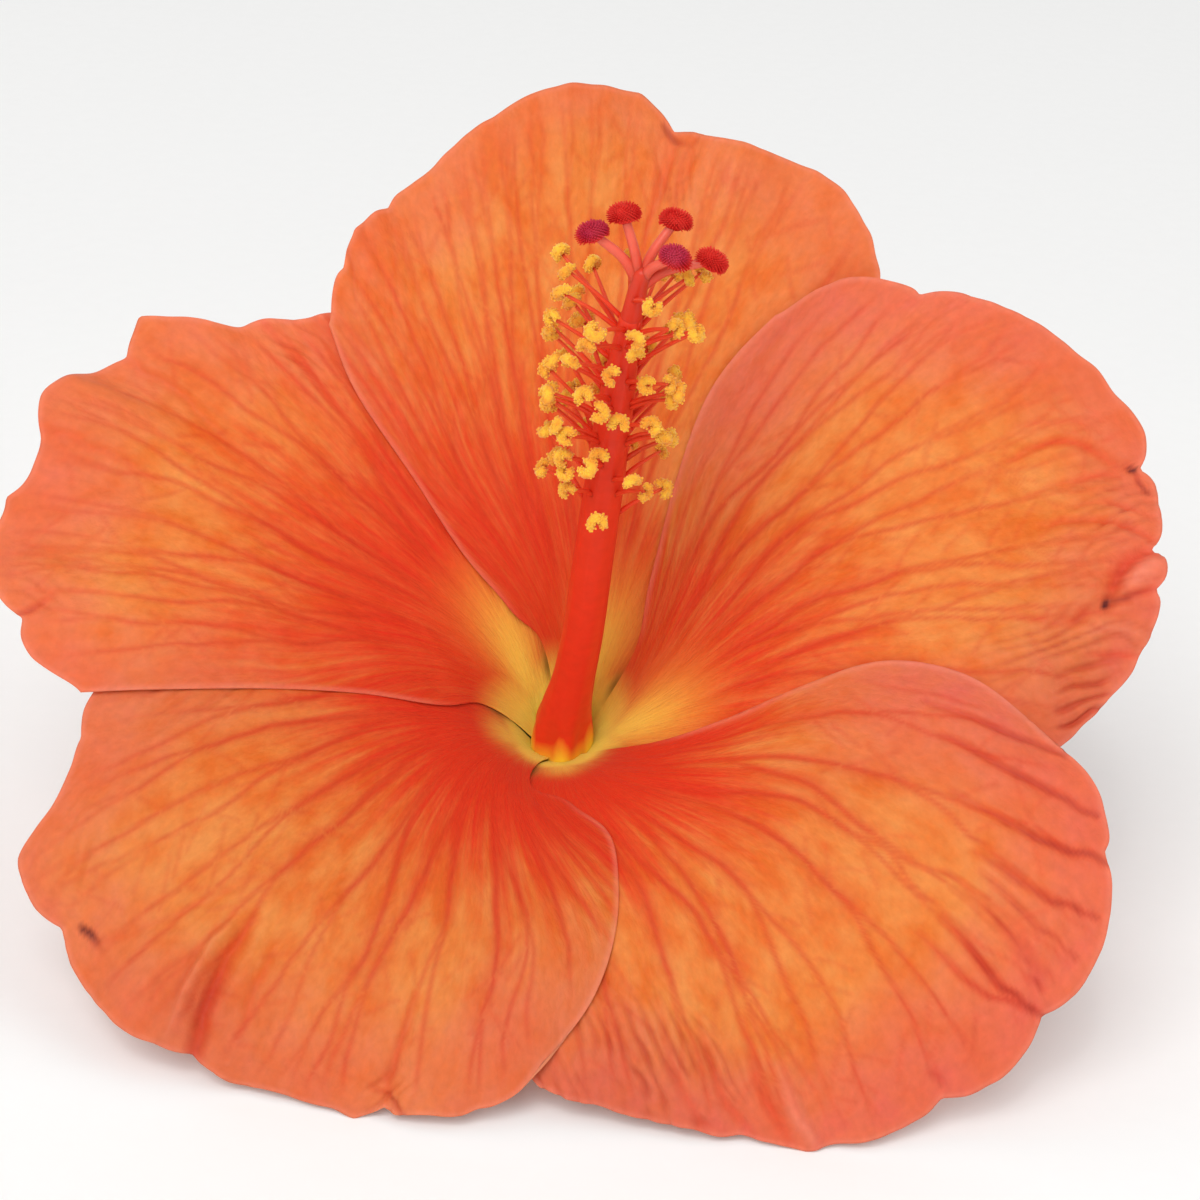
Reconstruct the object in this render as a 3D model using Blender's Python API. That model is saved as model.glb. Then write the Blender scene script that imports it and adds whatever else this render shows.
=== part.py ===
"""Hibiscus flower, picked, lying face up on a flat surface.

The flower is modelled in its own frame: its axis is +Z, the throat is the origin, and -Y is the
side whose petals bend down. An empty then tips it so that it rests on the rims of its two front
petals and on the cut end of its stalk. Lengths are millimetres and angles are degrees until a
mesh is written, in metres.
"""
import math
import random

import bmesh
import bpy
import numpy as np
from mathutils import Matrix, Vector

MM = 0.001

# Resting pose of the whole flower: its axis leans towards -Y, its left side is a little higher,
# and its throat stands at THROAT.
TILT = 20.9
ROLL = -4.6
THROAT = (0.0, 7.5, 20.9)

# Corolla: one funnel that the five petals share. A petal's slope is measured from the level.
CLAW_RADIUS = 3.9
BASE_SLOPE = 54.0
BASE_SLOPE_SWING = 12.0
RIM_SLOPE = -6.0
RIM_SLOPE_SWING = 38.0
FRONT_REFLEX = 36.0
SLOPE_RUN = 78.0
SLOPE_CURVE = 1.5
SLOPE_STEPS = 48

# Petals lie like a pinwheel: each one's left edge is on its neighbour, its right edge under it.
PETAL_STEP = 72.0
PETAL_THICKNESS = 0.5
LAYER_AT_BASE = 1.0
LAYER_GROWTH = 0.028
GRID_ACROSS = 18
GRID_ALONG = 14

# Staminal column, a little bent to the right: (x, y, height, radius)
COLUMN = (
    (0.0, 0.0, -4.8, 2.2),
    (0.0, 0.0, -2.6, 3.1),
    (0.0, 0.0, 0.0, 3.2),
    (0.4, 0.0, 3.5, 2.9),
    (1.2, 0.0, 8.0, 2.3),
    (2.2, 0.0, 15.0, 2.05),
    (3.3, 0.0, 26.0, 1.95),
    (4.5, 0.0, 38.0, 1.85),
    (5.6, 0.0, 49.0, 1.65),
    (6.8, 0.0, 58.5, 1.3),
)
COLUMN_SIDES = 14

# Stamens climb the upper half of the column in a spiral.
STAMENS = 45
STAMEN_TURN = 137.5
STAMEN_LOWEST = 33.0
STAMEN_HIGHEST = 57.5
STAMEN_REACH_LOW = 3.2
STAMEN_REACH_HIGH = 6.0
STAMEN_RISE_LOW = 36.0
STAMEN_RISE_HIGH = 52.0
FILAMENT_RADIUS = 0.22
FILAMENT_SIDES = 5
ANTHER_SIZE = (1.0, 0.78, 0.72)
ANTHER_BEND = 0.35

# Style and its five branches, and the stigma pad on each: (x, y, height)
STYLE_START = (6.9, 0.0, 58.9)
STYLE_FORK = (7.5, 0.0, 62.5)
STYLE_RADIUS = 1.1
BRANCH_RADIUS = 0.5
STIGMAS = (
    (3.3, 1.6, 67.0),
    (6.1, 2.6, 68.3),
    (10.7, 3.0, 67.2),
    (10.6, -0.8, 66.2),
    (13.9, 0.6, 64.6),
)
STIGMA_SIZE = (1.45, 1.45, 0.8)

# Calyx: a cup of five pointed lobes behind the petals. Epicalyx: narrow bracts below it.
CALYX_BOTTOM = -9.0
CALYX_FOOT = 1.8
CALYX_CLEARANCE = 2.0
CALYX_THICKNESS = 0.6
CALYX_SINUS = 10.0
CALYX_TIP = 19.0
CALYX_LOBE = 98.0
CALYX_BOWL = 0.3
CALYX_AROUND = 40
CALYX_RINGS = 11
BRACTS = 7
BRACT_REACH = ((1.6, -10.2, 0.5), (4.2, -9.6, 1.0), (8.2, -6.6, 0.9), (10.8, -2.2, 0.6), (12.4, 1.6, 0.25))
BRACT_FLATTEN = 0.45
COLLAR_RADIUS = 2.6
COLLAR_TOP = -9.5
COLLAR_BOTTOM = -10.9

# Stalk stub, bent backwards: (x, y, height, radius)
STALK = (
    (0.0, 0.0, -11.3, 1.7),
    (0.0, 0.3, -13.0, 1.3),
    (0.0, 1.6, -16.5, 1.2),
    (0.0, 3.8, -20.0, 1.25),
    (0.0, 5.4, -22.2, 1.6),
    (0.0, 6.6, -23.6, 1.45),
)
STALK_SIDES = 12

# Each petal: where its middle points, and its outline as (degrees from the middle, mm up the petal).
# raised is the edge that lies on the neighbour, tucked the one under it; folds are soft pleats,
# (degrees, half width in degrees, mm where it starts, mm that it lifts at the rim).
PETALS = {
    "petal_top": {
        "middle": 90.0,
        "raised": ((3, 0), (13, 5), (34, 13), (43, 20), (45, 30), (45, 40), (42, 48)),
        "rim": ((42, 48), (36, 51), (27, 55), (17, 58), (8, 62), (-3, 64), (-12, 63), (-18, 61),
                (-26, 61), (-36, 61), (-46, 56), (-52, 49)),
        "tucked": ((-59, 0), (-58, 12), (-56, 25), (-55, 38), (-52, 49)),
        "folds": ((0, 9, 34, 1.6), (-14, 5, 44, -1.6), (-24, 6, 40, 1.6), (24, 8, 36, -1.2)),
    },
    "petal_upper_right": {
        "middle": 18.0,
        "raised": ((3, 0), (12, 7), (27, 17), (35, 28), (37, 37), (33, 48)),
        "rim": ((33, 48), (26, 53), (15, 58), (6, 62), (-2, 65), (-12, 64), (-22, 62), (-29, 57),
                (-37, 52), (-44, 45)),
        "tucked": ((-59, 0), (-58, 12), (-55, 25), (-50, 36), (-44, 45)),
        "folds": ((14, 8, 36, 1.2), (-6, 7, 40, -1.8), (-18, 5, 42, 1.6), (-29, 5, 42, -1.6)),
    },
    "petal_lower_right": {
        "middle": -54.0,
        "raised": ((3, 0), (18, 8), (31, 18), (40, 27), (44, 35), (43, 43), (39, 50)),
        "rim": ((39, 50), (33, 56), (25, 60), (14, 61), (5, 59), (-5, 56), (-17, 50), (-29, 45),
                (-38, 42), (-47, 37)),
        "tucked": ((-59, 0), (-58, 10), (-55, 20), (-51, 30), (-47, 37)),
        "folds": ((25, 7, 36, 1.4), (8, 6, 40, -1.6), (-8, 6, 38, 1.0), (-22, 6, 36, -1.0)),
    },
    "petal_lower_left": {
        "middle": -126.0,
        "raised": ((3, 0), (17, 7), (42, 13), (51, 19), (49, 25), (42, 35), (35, 41)),
        "rim": ((35, 41), (26, 45), (13, 49), (2, 52), (-8, 55), (-18, 58), (-29, 58), (-34, 52),
                (-42, 48), (-49, 43)),
        "tucked": ((-59, 0), (-58, 12), (-56, 24), (-53, 34), (-49, 43)),
        "folds": ((18, 8, 32, 1.0), (2, 7, 36, -1.2), (-12, 5, 30, 1.8), (-22, 6, 38, -1.2)),
    },
    "petal_upper_left": {
        "middle": 162.0,
        "raised": ((3, 0), (18, 6), (33, 14), (33, 22), (32, 38), (30, 51)),
        "rim": ((30, 51), (23, 56), (15, 60), (8, 59), (0, 61), (-6, 59), (-13, 57), (-20, 51),
                (-30, 49), (-38, 47), (-46, 43)),
        "tucked": ((-59, 0), (-58, 12), (-56, 24), (-52, 34), (-46, 43)),
        "folds": ((14, 7, 36, -1.4), (2, 6, 42, 1.6), (-9, 5, 40, -2.0), (-16, 5, 38, 1.4)),
    },
}

# Plain colours of the parts, linear red, green and blue, with roughness
FINISHES = {
    "petal": ((0.83, 0.17, 0.055), 0.55),
    "column": ((0.72, 0.05, 0.02), 0.45),
    "anther": ((0.90, 0.42, 0.03), 0.85),
    "style": ((0.78, 0.17, 0.10), 0.45),
    "stigma": ((0.56, 0.02, 0.025), 0.85),
    "sepal": ((0.16, 0.26, 0.06), 0.6),
    "stalk": ((0.14, 0.22, 0.05), 0.6),
}


def clear_scene():
    """Remove what the new file starts with."""
    for item in list(bpy.data.objects):
        bpy.data.objects.remove(item)


def material(finish):
    """The plain material of a finish, made once."""
    found = bpy.data.materials.get(finish)
    if found:
        return found
    made = bpy.data.materials.new(finish)
    made.use_nodes = True
    colour, roughness = FINISHES[finish]
    shader = made.node_tree.nodes["Principled BSDF"]
    shader.inputs["Base Color"].default_value = (*colour, 1.0)
    shader.inputs["Roughness"].default_value = roughness
    shader.inputs["Metallic"].default_value = 0.0
    return made


def add_object(name, bm, finish, parent):
    """Write a bmesh, in millimetres, to a named object of the flower."""
    bmesh.ops.recalc_face_normals(bm, faces=bm.faces)
    bmesh.ops.scale(bm, vec=(MM, MM, MM), verts=bm.verts)
    mesh = bpy.data.meshes.new(name)
    bm.to_mesh(mesh)
    bm.free()
    mesh.shade_smooth()
    mesh.set_sharp_from_angle(angle=math.radians(50))
    item = bpy.data.objects.new(name, mesh)
    mesh.materials.append(material(finish))
    bpy.context.collection.objects.link(item)
    item.parent = parent
    return item


def join_with(item, other):
    """Unite item with a hidden second object."""
    other.hide_render = True
    other.display_type = "WIRE"
    union = item.modifiers.new("union", "BOOLEAN")
    union.operation = "UNION"
    union.solver = "EXACT"
    union.object = other


def add_wall(item, thickness):
    """Give a sheet its thickness, in millimetres, half to each side."""
    wall = item.modifiers.new("thickness", "SOLIDIFY")
    wall.thickness = thickness * MM
    wall.offset = 0.0


def smooth_line(points, share):
    """Read a smooth line through points at shares (0 to 1) of its length."""
    knots = np.array(points, float)
    steps = np.hypot(*np.diff(knots, axis=0).T)
    at = np.concatenate(([0.0], np.cumsum(steps))) / steps.sum()
    slope = np.gradient(knots, at, axis=0)
    share = np.asarray(share, float)
    left = np.clip(np.searchsorted(at, share, side="right") - 1, 0, len(at) - 2)
    span = at[left + 1] - at[left]
    t = ((share - at[left]) / span)[:, None]
    span = span[:, None]
    return (
        (2 * t**3 - 3 * t**2 + 1) * knots[left]
        + (t**3 - 2 * t**2 + t) * span * slope[left]
        + (3 * t**2 - 2 * t**3) * knots[left + 1]
        + (t**3 - t**2) * span * slope[left + 1]
    )


def corolla(azimuth, along, lift):
    """Points of the funnel: azimuth in degrees, along a petal and lifted off it in millimetres."""
    turn = np.radians(azimuth)
    side = np.sin(turn)
    start = BASE_SLOPE + BASE_SLOPE_SWING * side
    end = RIM_SLOPE + RIM_SLOPE_SWING * side - FRONT_REFLEX * np.clip(-side, 0, 1) ** 1.5
    walked = np.linspace(0, 1, SLOPE_STEPS + 1)[:, None] * along[None, :]
    bent = 1 - np.abs(1 - np.clip(walked / SLOPE_RUN, 0, 1)) ** SLOPE_CURVE
    slope = np.radians(start + (end - start) * bent)
    step = along / SLOPE_STEPS
    out = CLAW_RADIUS + (np.cos(slope[1:]) + np.cos(slope[:-1])).sum(0) * step / 2
    height = (np.sin(slope[1:]) + np.sin(slope[:-1])).sum(0) * step / 2
    out = out - np.sin(slope[-1]) * lift
    height = height + np.cos(slope[-1]) * lift
    return np.stack([out * np.cos(turn), out * np.sin(turn), height], -1)


def petal_lift(petal, offset, along):
    """How far a petal stands off the funnel: its place in the pinwheel, and its soft folds."""
    layer = (LAYER_AT_BASE + LAYER_GROWTH * along) * (offset + 7.0) / PETAL_STEP
    for centre, width, start, height in petal["folds"]:
        grown = np.clip((along - start) / (62.0 - start), 0, 1) ** 1.5
        layer = layer + height * grown * np.exp(-(((offset - centre) / width) ** 2))
    return layer


def petal_points(petal, across, along):
    """Place the petal's own coordinates (0 to 1 both ways) on the funnel, by its four edges."""
    tucked = smooth_line(petal["tucked"], along)
    raised = smooth_line(petal["raised"], along)
    rim = smooth_line(petal["rim"][::-1], across)
    base = np.stack([-59.0 + 62.0 * across, np.zeros_like(across)], -1)
    u = across[:, None]
    v = along[:, None]
    corners = (
        (1 - u) * (1 - v) * base_corner(petal["tucked"], 0)
        + u * (1 - v) * base_corner(petal["raised"], 0)
        + (1 - u) * v * base_corner(petal["tucked"], -1)
        + u * v * base_corner(petal["raised"], -1)
    )
    flat = (1 - v) * base + v * rim + (1 - u) * tucked + u * raised - corners
    offset = flat[:, 0]
    reach = np.maximum(flat[:, 1], 0.0)
    return corolla(petal["middle"] + offset, reach, petal_lift(petal, offset, reach))


def base_corner(edge, index):
    """One end point of an edge as an array."""
    return np.array(edge[index], float)


def add_petal(name, petal, parent):
    """A petal: a flat grid laid on the funnel and given its thickness."""
    bm = bmesh.new()
    bmesh.ops.create_grid(bm, x_segments=GRID_ACROSS, y_segments=GRID_ALONG, size=0.5)
    across = np.array([v.co.x + 0.5 for v in bm.verts])
    along = np.array([v.co.y + 0.5 for v in bm.verts])
    for vert, place in zip(bm.verts, petal_points(petal, across, along)):
        vert.co = Vector(place)
    add_wall(add_object(name, bm, "petal", parent), PETAL_THICKNESS)


def add_tube(bm, points, radii, sides, flatten=1.0):
    """Sweep a round or flattened section along points into a bmesh, closed at both ends."""
    path = [Vector(p) for p in points]
    face = None
    last = None
    heading = path[1] - path[0]
    turn = heading.to_track_quat("Z", "Y").to_matrix()
    for index, (point, radius) in enumerate(zip(path, radii)):
        onward = path[min(index + 1, len(path) - 1)] - path[max(index - 1, 0)]
        turn = heading.rotation_difference(onward).to_matrix() @ turn
        heading = onward
        size = Matrix.Diagonal((radius, radius * flatten, 1.0, 1.0))
        place = Matrix.Translation(point) @ turn.to_4x4() @ size
        if face is None:
            made = bmesh.ops.create_circle(bm, cap_ends=True, segments=sides, radius=1.0, matrix=place)
            face = made["verts"][0].link_faces[0]
        else:
            grown = bmesh.ops.extrude_face_region(bm, geom=[face], use_keep_orig=True)
            if index > 1:
                bmesh.ops.delete(bm, geom=[face], context="FACES_ONLY")
            face = next(g for g in grown["geom"] if isinstance(g, bmesh.types.BMFace))
            bmesh.ops.transform(bm, matrix=place @ last.inverted(), verts=face.verts)
        last = place


def column_at(height):
    """Centre and radius of the staminal column at a height."""
    heights = [row[2] for row in COLUMN]
    x, y, radius = (float(np.interp(height, heights, [row[i] for row in COLUMN])) for i in (0, 1, 3))
    return Vector((x, y, height)), radius


def stamens():
    """Root, direction and length of every filament, lowest first."""
    chance = random.Random(11)
    made = []
    for index in range(STAMENS):
        share = index / (STAMENS - 1)
        height = STAMEN_LOWEST + (STAMEN_HIGHEST - STAMEN_LOWEST) * share
        turn = math.radians(STAMEN_TURN * index + chance.uniform(-14, 14))
        rise = STAMEN_RISE_LOW + (STAMEN_RISE_HIGH - STAMEN_RISE_LOW) * share
        rise = math.radians(rise + chance.uniform(-7, 7))
        reach = STAMEN_REACH_LOW + (STAMEN_REACH_HIGH - STAMEN_REACH_LOW) * share
        reach *= chance.uniform(0.8, 1.15)
        root, radius = column_at(height)
        out = Vector((math.cos(turn), math.sin(turn), 0.0))
        heading = out * math.cos(rise) + Vector((0.0, 0.0, math.sin(rise)))
        made.append((root + out * (radius - 0.5), heading, reach + 0.5))
    return made


def add_column(parent):
    """Staminal column with its free filaments, one grown piece."""
    bm = bmesh.new()
    add_tube(bm, [row[:3] for row in COLUMN], [row[3] for row in COLUMN], COLUMN_SIDES)
    column = add_object("staminal_column", bm, "column", parent)
    threads = bmesh.new()
    for root, heading, reach in stamens():
        tip = root + heading * reach
        add_tube(threads, (root, tip), (FILAMENT_RADIUS, FILAMENT_RADIUS * 0.8), FILAMENT_SIDES)
    join_with(column, add_object("filament_threads", threads, "column", parent))


def add_anthers(parent):
    """One kidney-shaped anther just past the tip of each filament."""
    for index, (root, heading, reach) in enumerate(stamens(), start=1):
        bm = bmesh.new()
        bmesh.ops.create_uvsphere(bm, u_segments=7, v_segments=4, radius=1.0)
        for vert in bm.verts:
            vert.co = Vector((a * b for a, b in zip(vert.co, ANTHER_SIZE)))
            vert.co.z -= ANTHER_BEND * vert.co.x**2
        turn = heading.to_track_quat("Z", "Y").to_matrix().to_4x4()
        place = root + heading * (reach + 1.15 + ANTHER_BEND)
        bmesh.ops.transform(bm, matrix=Matrix.Translation(place) @ turn, verts=bm.verts)
        add_object(f"anther_{index:02d}", bm, "anther", parent)


def add_style(parent):
    """The style and its five branches, and a stigma pad on each branch."""
    fork = Vector(STYLE_FORK)
    bm = bmesh.new()
    neck = fork + Vector((0.15, 0.0, 1.2))
    add_tube(bm, (STYLE_START, fork, neck), (STYLE_RADIUS, STYLE_RADIUS, STYLE_RADIUS * 0.8), 10)
    style = add_object("style", bm, "style", parent)
    for index, place in enumerate(STIGMAS, start=1):
        tip = Vector(place)
        spread = tip - fork
        knee = fork + Vector((spread.x * 0.35, spread.y * 0.35, spread.z * 0.5))
        out = (tip - knee).normalized()
        end = tip - out * (STIGMA_SIZE[2] + 0.35)
        branch = bmesh.new()
        add_tube(branch, (fork, knee, end), (BRANCH_RADIUS, BRANCH_RADIUS, BRANCH_RADIUS * 0.9), 6)
        join_with(style, add_object(f"branch_{index}", branch, "style", parent))
        pad = bmesh.new()
        bmesh.ops.create_uvsphere(pad, u_segments=10, v_segments=6, radius=1.0)
        bmesh.ops.scale(pad, vec=STIGMA_SIZE, verts=pad.verts)
        turn = out.to_track_quat("Z", "Y").to_matrix().to_4x4()
        bmesh.ops.transform(pad, matrix=Matrix.Translation(tip) @ turn, verts=pad.verts)
        add_object(f"stigma_{index}", pad, "stigma", parent)


def calyx_points(turn, share):
    """Points of the calyx: its bowl up to CALYX_BOWL of the way, then its lobes behind the petals."""
    bowl = np.clip(share / CALYX_BOWL, 0, 1) * math.pi / 2
    lobe = np.clip((share - CALYX_BOWL) / (1 - CALYX_BOWL), 0, 1)
    pointed = np.abs(np.cos(np.radians((turn - CALYX_LOBE) * 2.5))) ** 1.5
    reach = (CALYX_SINUS + (CALYX_TIP - CALYX_SINUS) * pointed) * lobe
    behind = corolla(turn, reach, -CALYX_CLEARANCE * (0.6 + 0.4 * np.minimum(1.0, lobe * 4)))
    out = np.hypot(behind[:, 0], behind[:, 1])
    radius = CALYX_FOOT + (out - CALYX_FOOT) * np.sin(bowl)
    height = CALYX_BOTTOM + (behind[:, 2] - CALYX_BOTTOM) * (1 - np.cos(bowl))
    return np.stack([behind[:, 0] / out * radius, behind[:, 1] / out * radius, height], -1)


def add_calyx(parent):
    """Cup of five pointed lobes: a grid rolled into a bowl, closed along its seam."""
    bm = bmesh.new()
    bmesh.ops.create_grid(bm, x_segments=CALYX_AROUND, y_segments=CALYX_RINGS, size=0.5)
    turn = np.array([(v.co.x + 0.5) * 360.0 for v in bm.verts])
    share = np.array([v.co.y + 0.5 for v in bm.verts])
    for vert, place in zip(bm.verts, calyx_points(turn, share)):
        vert.co = Vector(place)
    bmesh.ops.remove_doubles(bm, verts=bm.verts, dist=0.001)
    add_wall(add_object("calyx", bm, "sepal", parent), CALYX_THICKNESS)


def add_epicalyx(parent):
    """Ring of narrow bracts, joined by a collar below the calyx."""
    bm = bmesh.new()
    add_tube(bm, ((0, 0, COLLAR_BOTTOM), (0, 0, COLLAR_TOP)), (COLLAR_RADIUS, COLLAR_RADIUS), 16)
    collar = add_object("epicalyx", bm, "sepal", parent)
    for index in range(BRACTS):
        turn = 2 * math.pi * (index + 0.3) / BRACTS
        points = [(r * math.cos(turn), r * math.sin(turn), z) for r, z, _ in BRACT_REACH]
        blade = bmesh.new()
        add_tube(blade, points, [width for _, _, width in BRACT_REACH], 6, BRACT_FLATTEN)
        join_with(collar, add_object(f"bract_{index}", blade, "sepal", parent))


def add_stalk(parent):
    """Short stub of the flower stalk with its joint ring and cut end."""
    bm = bmesh.new()
    add_tube(bm, [row[:3] for row in STALK], [row[3] for row in STALK], STALK_SIDES)
    add_object("pedicel", bm, "stalk", parent)


def main():
    """Build the flower in its own frame and tip it into its resting pose."""
    clear_scene()
    flower = bpy.data.objects.new("flower_frame", None)
    bpy.context.collection.objects.link(flower)
    flower.location = [value * MM for value in THROAT]
    flower.rotation_euler = (math.radians(TILT), math.radians(ROLL), 0.0)
    for name, petal in PETALS.items():
        add_petal(name, petal, flower)
    add_column(flower)
    add_anthers(flower)
    add_style(flower)
    add_calyx(flower)
    add_epicalyx(flower)
    add_stalk(flower)


main()
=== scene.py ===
"""Finished look of a picked hibiscus flower that lies face up on a pale floor.

Every sub-assembly is a class that builds its meshes in the flower's own frame, in millimetres:
+Z is the flower's axis, the throat is the origin and -Y is the side whose petals bend down.
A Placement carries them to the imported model's frame, in metres.
"""
import logging
import math
import random
from dataclasses import dataclass, field
from enum import Enum

import bmesh
import bpy
import numpy as np
from mathutils import Matrix, Vector
from mathutils.kdtree import KDTree


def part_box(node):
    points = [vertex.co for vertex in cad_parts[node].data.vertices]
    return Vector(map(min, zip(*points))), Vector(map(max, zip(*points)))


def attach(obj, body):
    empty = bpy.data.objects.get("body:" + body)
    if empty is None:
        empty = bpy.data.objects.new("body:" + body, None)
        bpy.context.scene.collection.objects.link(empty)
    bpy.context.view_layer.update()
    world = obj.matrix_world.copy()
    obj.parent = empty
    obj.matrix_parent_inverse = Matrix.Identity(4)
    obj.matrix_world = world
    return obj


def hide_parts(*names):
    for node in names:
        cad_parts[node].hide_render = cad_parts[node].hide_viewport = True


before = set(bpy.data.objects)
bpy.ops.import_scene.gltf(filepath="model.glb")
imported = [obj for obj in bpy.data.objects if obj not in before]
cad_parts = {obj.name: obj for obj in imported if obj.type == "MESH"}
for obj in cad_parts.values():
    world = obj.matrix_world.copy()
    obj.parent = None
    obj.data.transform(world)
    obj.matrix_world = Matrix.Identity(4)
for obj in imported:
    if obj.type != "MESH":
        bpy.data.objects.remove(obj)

MM = 0.001
BODY = "root"
LOG = logging.getLogger("hibiscus")
# How far past a tube's end each closing ring lies, and how wide it is, as shares of its radius.
ROUND_END = ((0.6, 0.8), (0.9, 0.35))

Outline = tuple[tuple[float, float], ...]


class Slot(Enum):
    """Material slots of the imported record."""

    PETAL = "petal"
    COLUMN = "column"
    ANTHER = "anther"
    STYLE = "style"
    STIGMA = "stigma"
    SEPAL = "sepal"
    STALK = "stalk"


class Side(Enum):
    """The two faces of a petal."""

    FACE = 0.0
    BACK = 1.0


def srgb(code: str) -> tuple[float, float, float, float]:
    """Turn an sRGB hex code into linear colour.

    Args:
        code: Six hex digits after a hash sign.

    Returns:
        Linear red, green, blue and an alpha of 1.
    """
    parts = [int(code[i : i + 2], 16) / 255 for i in (1, 3, 5)]
    linear = [p / 12.92 if p <= 0.04045 else ((p + 0.055) / 1.055) ** 2.4 for p in parts]
    return (*linear, 1.0)


def smooth(value: np.ndarray, low: float, high: float) -> np.ndarray:
    """Rise smoothly from 0 at low to 1 at high.

    Args:
        value: What is read.
        low: Where the rise starts.
        high: Where it ends; it may lie below low, for a fall.

    Returns:
        The share of the rise, from 0 to 1.
    """
    t = np.clip((value - low) / (high - low), 0.0, 1.0)
    return t * t * (3 - 2 * t)


def soft_noise(x: np.ndarray, y: np.ndarray, seed: float) -> np.ndarray:
    """Smooth lattice noise.

    Args:
        x: First coordinate, one lump to each unit.
        y: Second coordinate.
        seed: Which pattern.

    Returns:
        Values from -1 to 1.
    """
    left, low = np.floor(x), np.floor(y)
    u, v = x - left, y - low
    u, v = u * u * (3 - 2 * u), v * v * (3 - 2 * v)

    def corner(dx: int, dy: int) -> np.ndarray:
        """Chance value of a lattice point."""
        spun = np.sin((left + dx) * 127.1 + (low + dy) * 311.7 + seed * 74.7) * 43758.5453
        return 2 * (spun - np.floor(spun)) - 1

    lower = corner(0, 0) * (1 - u) + corner(1, 0) * u
    upper = corner(0, 1) * (1 - u) + corner(1, 1) * u
    return lower * (1 - v) + upper * v


def add_node(
    tree: bpy.types.NodeTree, kind: str, inputs: dict | None = None, **settings: object
) -> bpy.types.Node:
    """Add a shader node with its settings and links.

    Args:
        tree: The material's node tree.
        kind: Blender's name of the node type.
        inputs: Values or linked output sockets, by input name or number.
        settings: Properties of the node.

    Returns:
        The node.
    """
    node = tree.nodes.new(kind)
    for name, value in settings.items():
        setattr(node, name, value)
    for key, value in (inputs or {}).items():
        if isinstance(value, bpy.types.NodeSocket):
            tree.links.new(value, node.inputs[key])
        else:
            node.inputs[key].default_value = value
    return node


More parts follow.
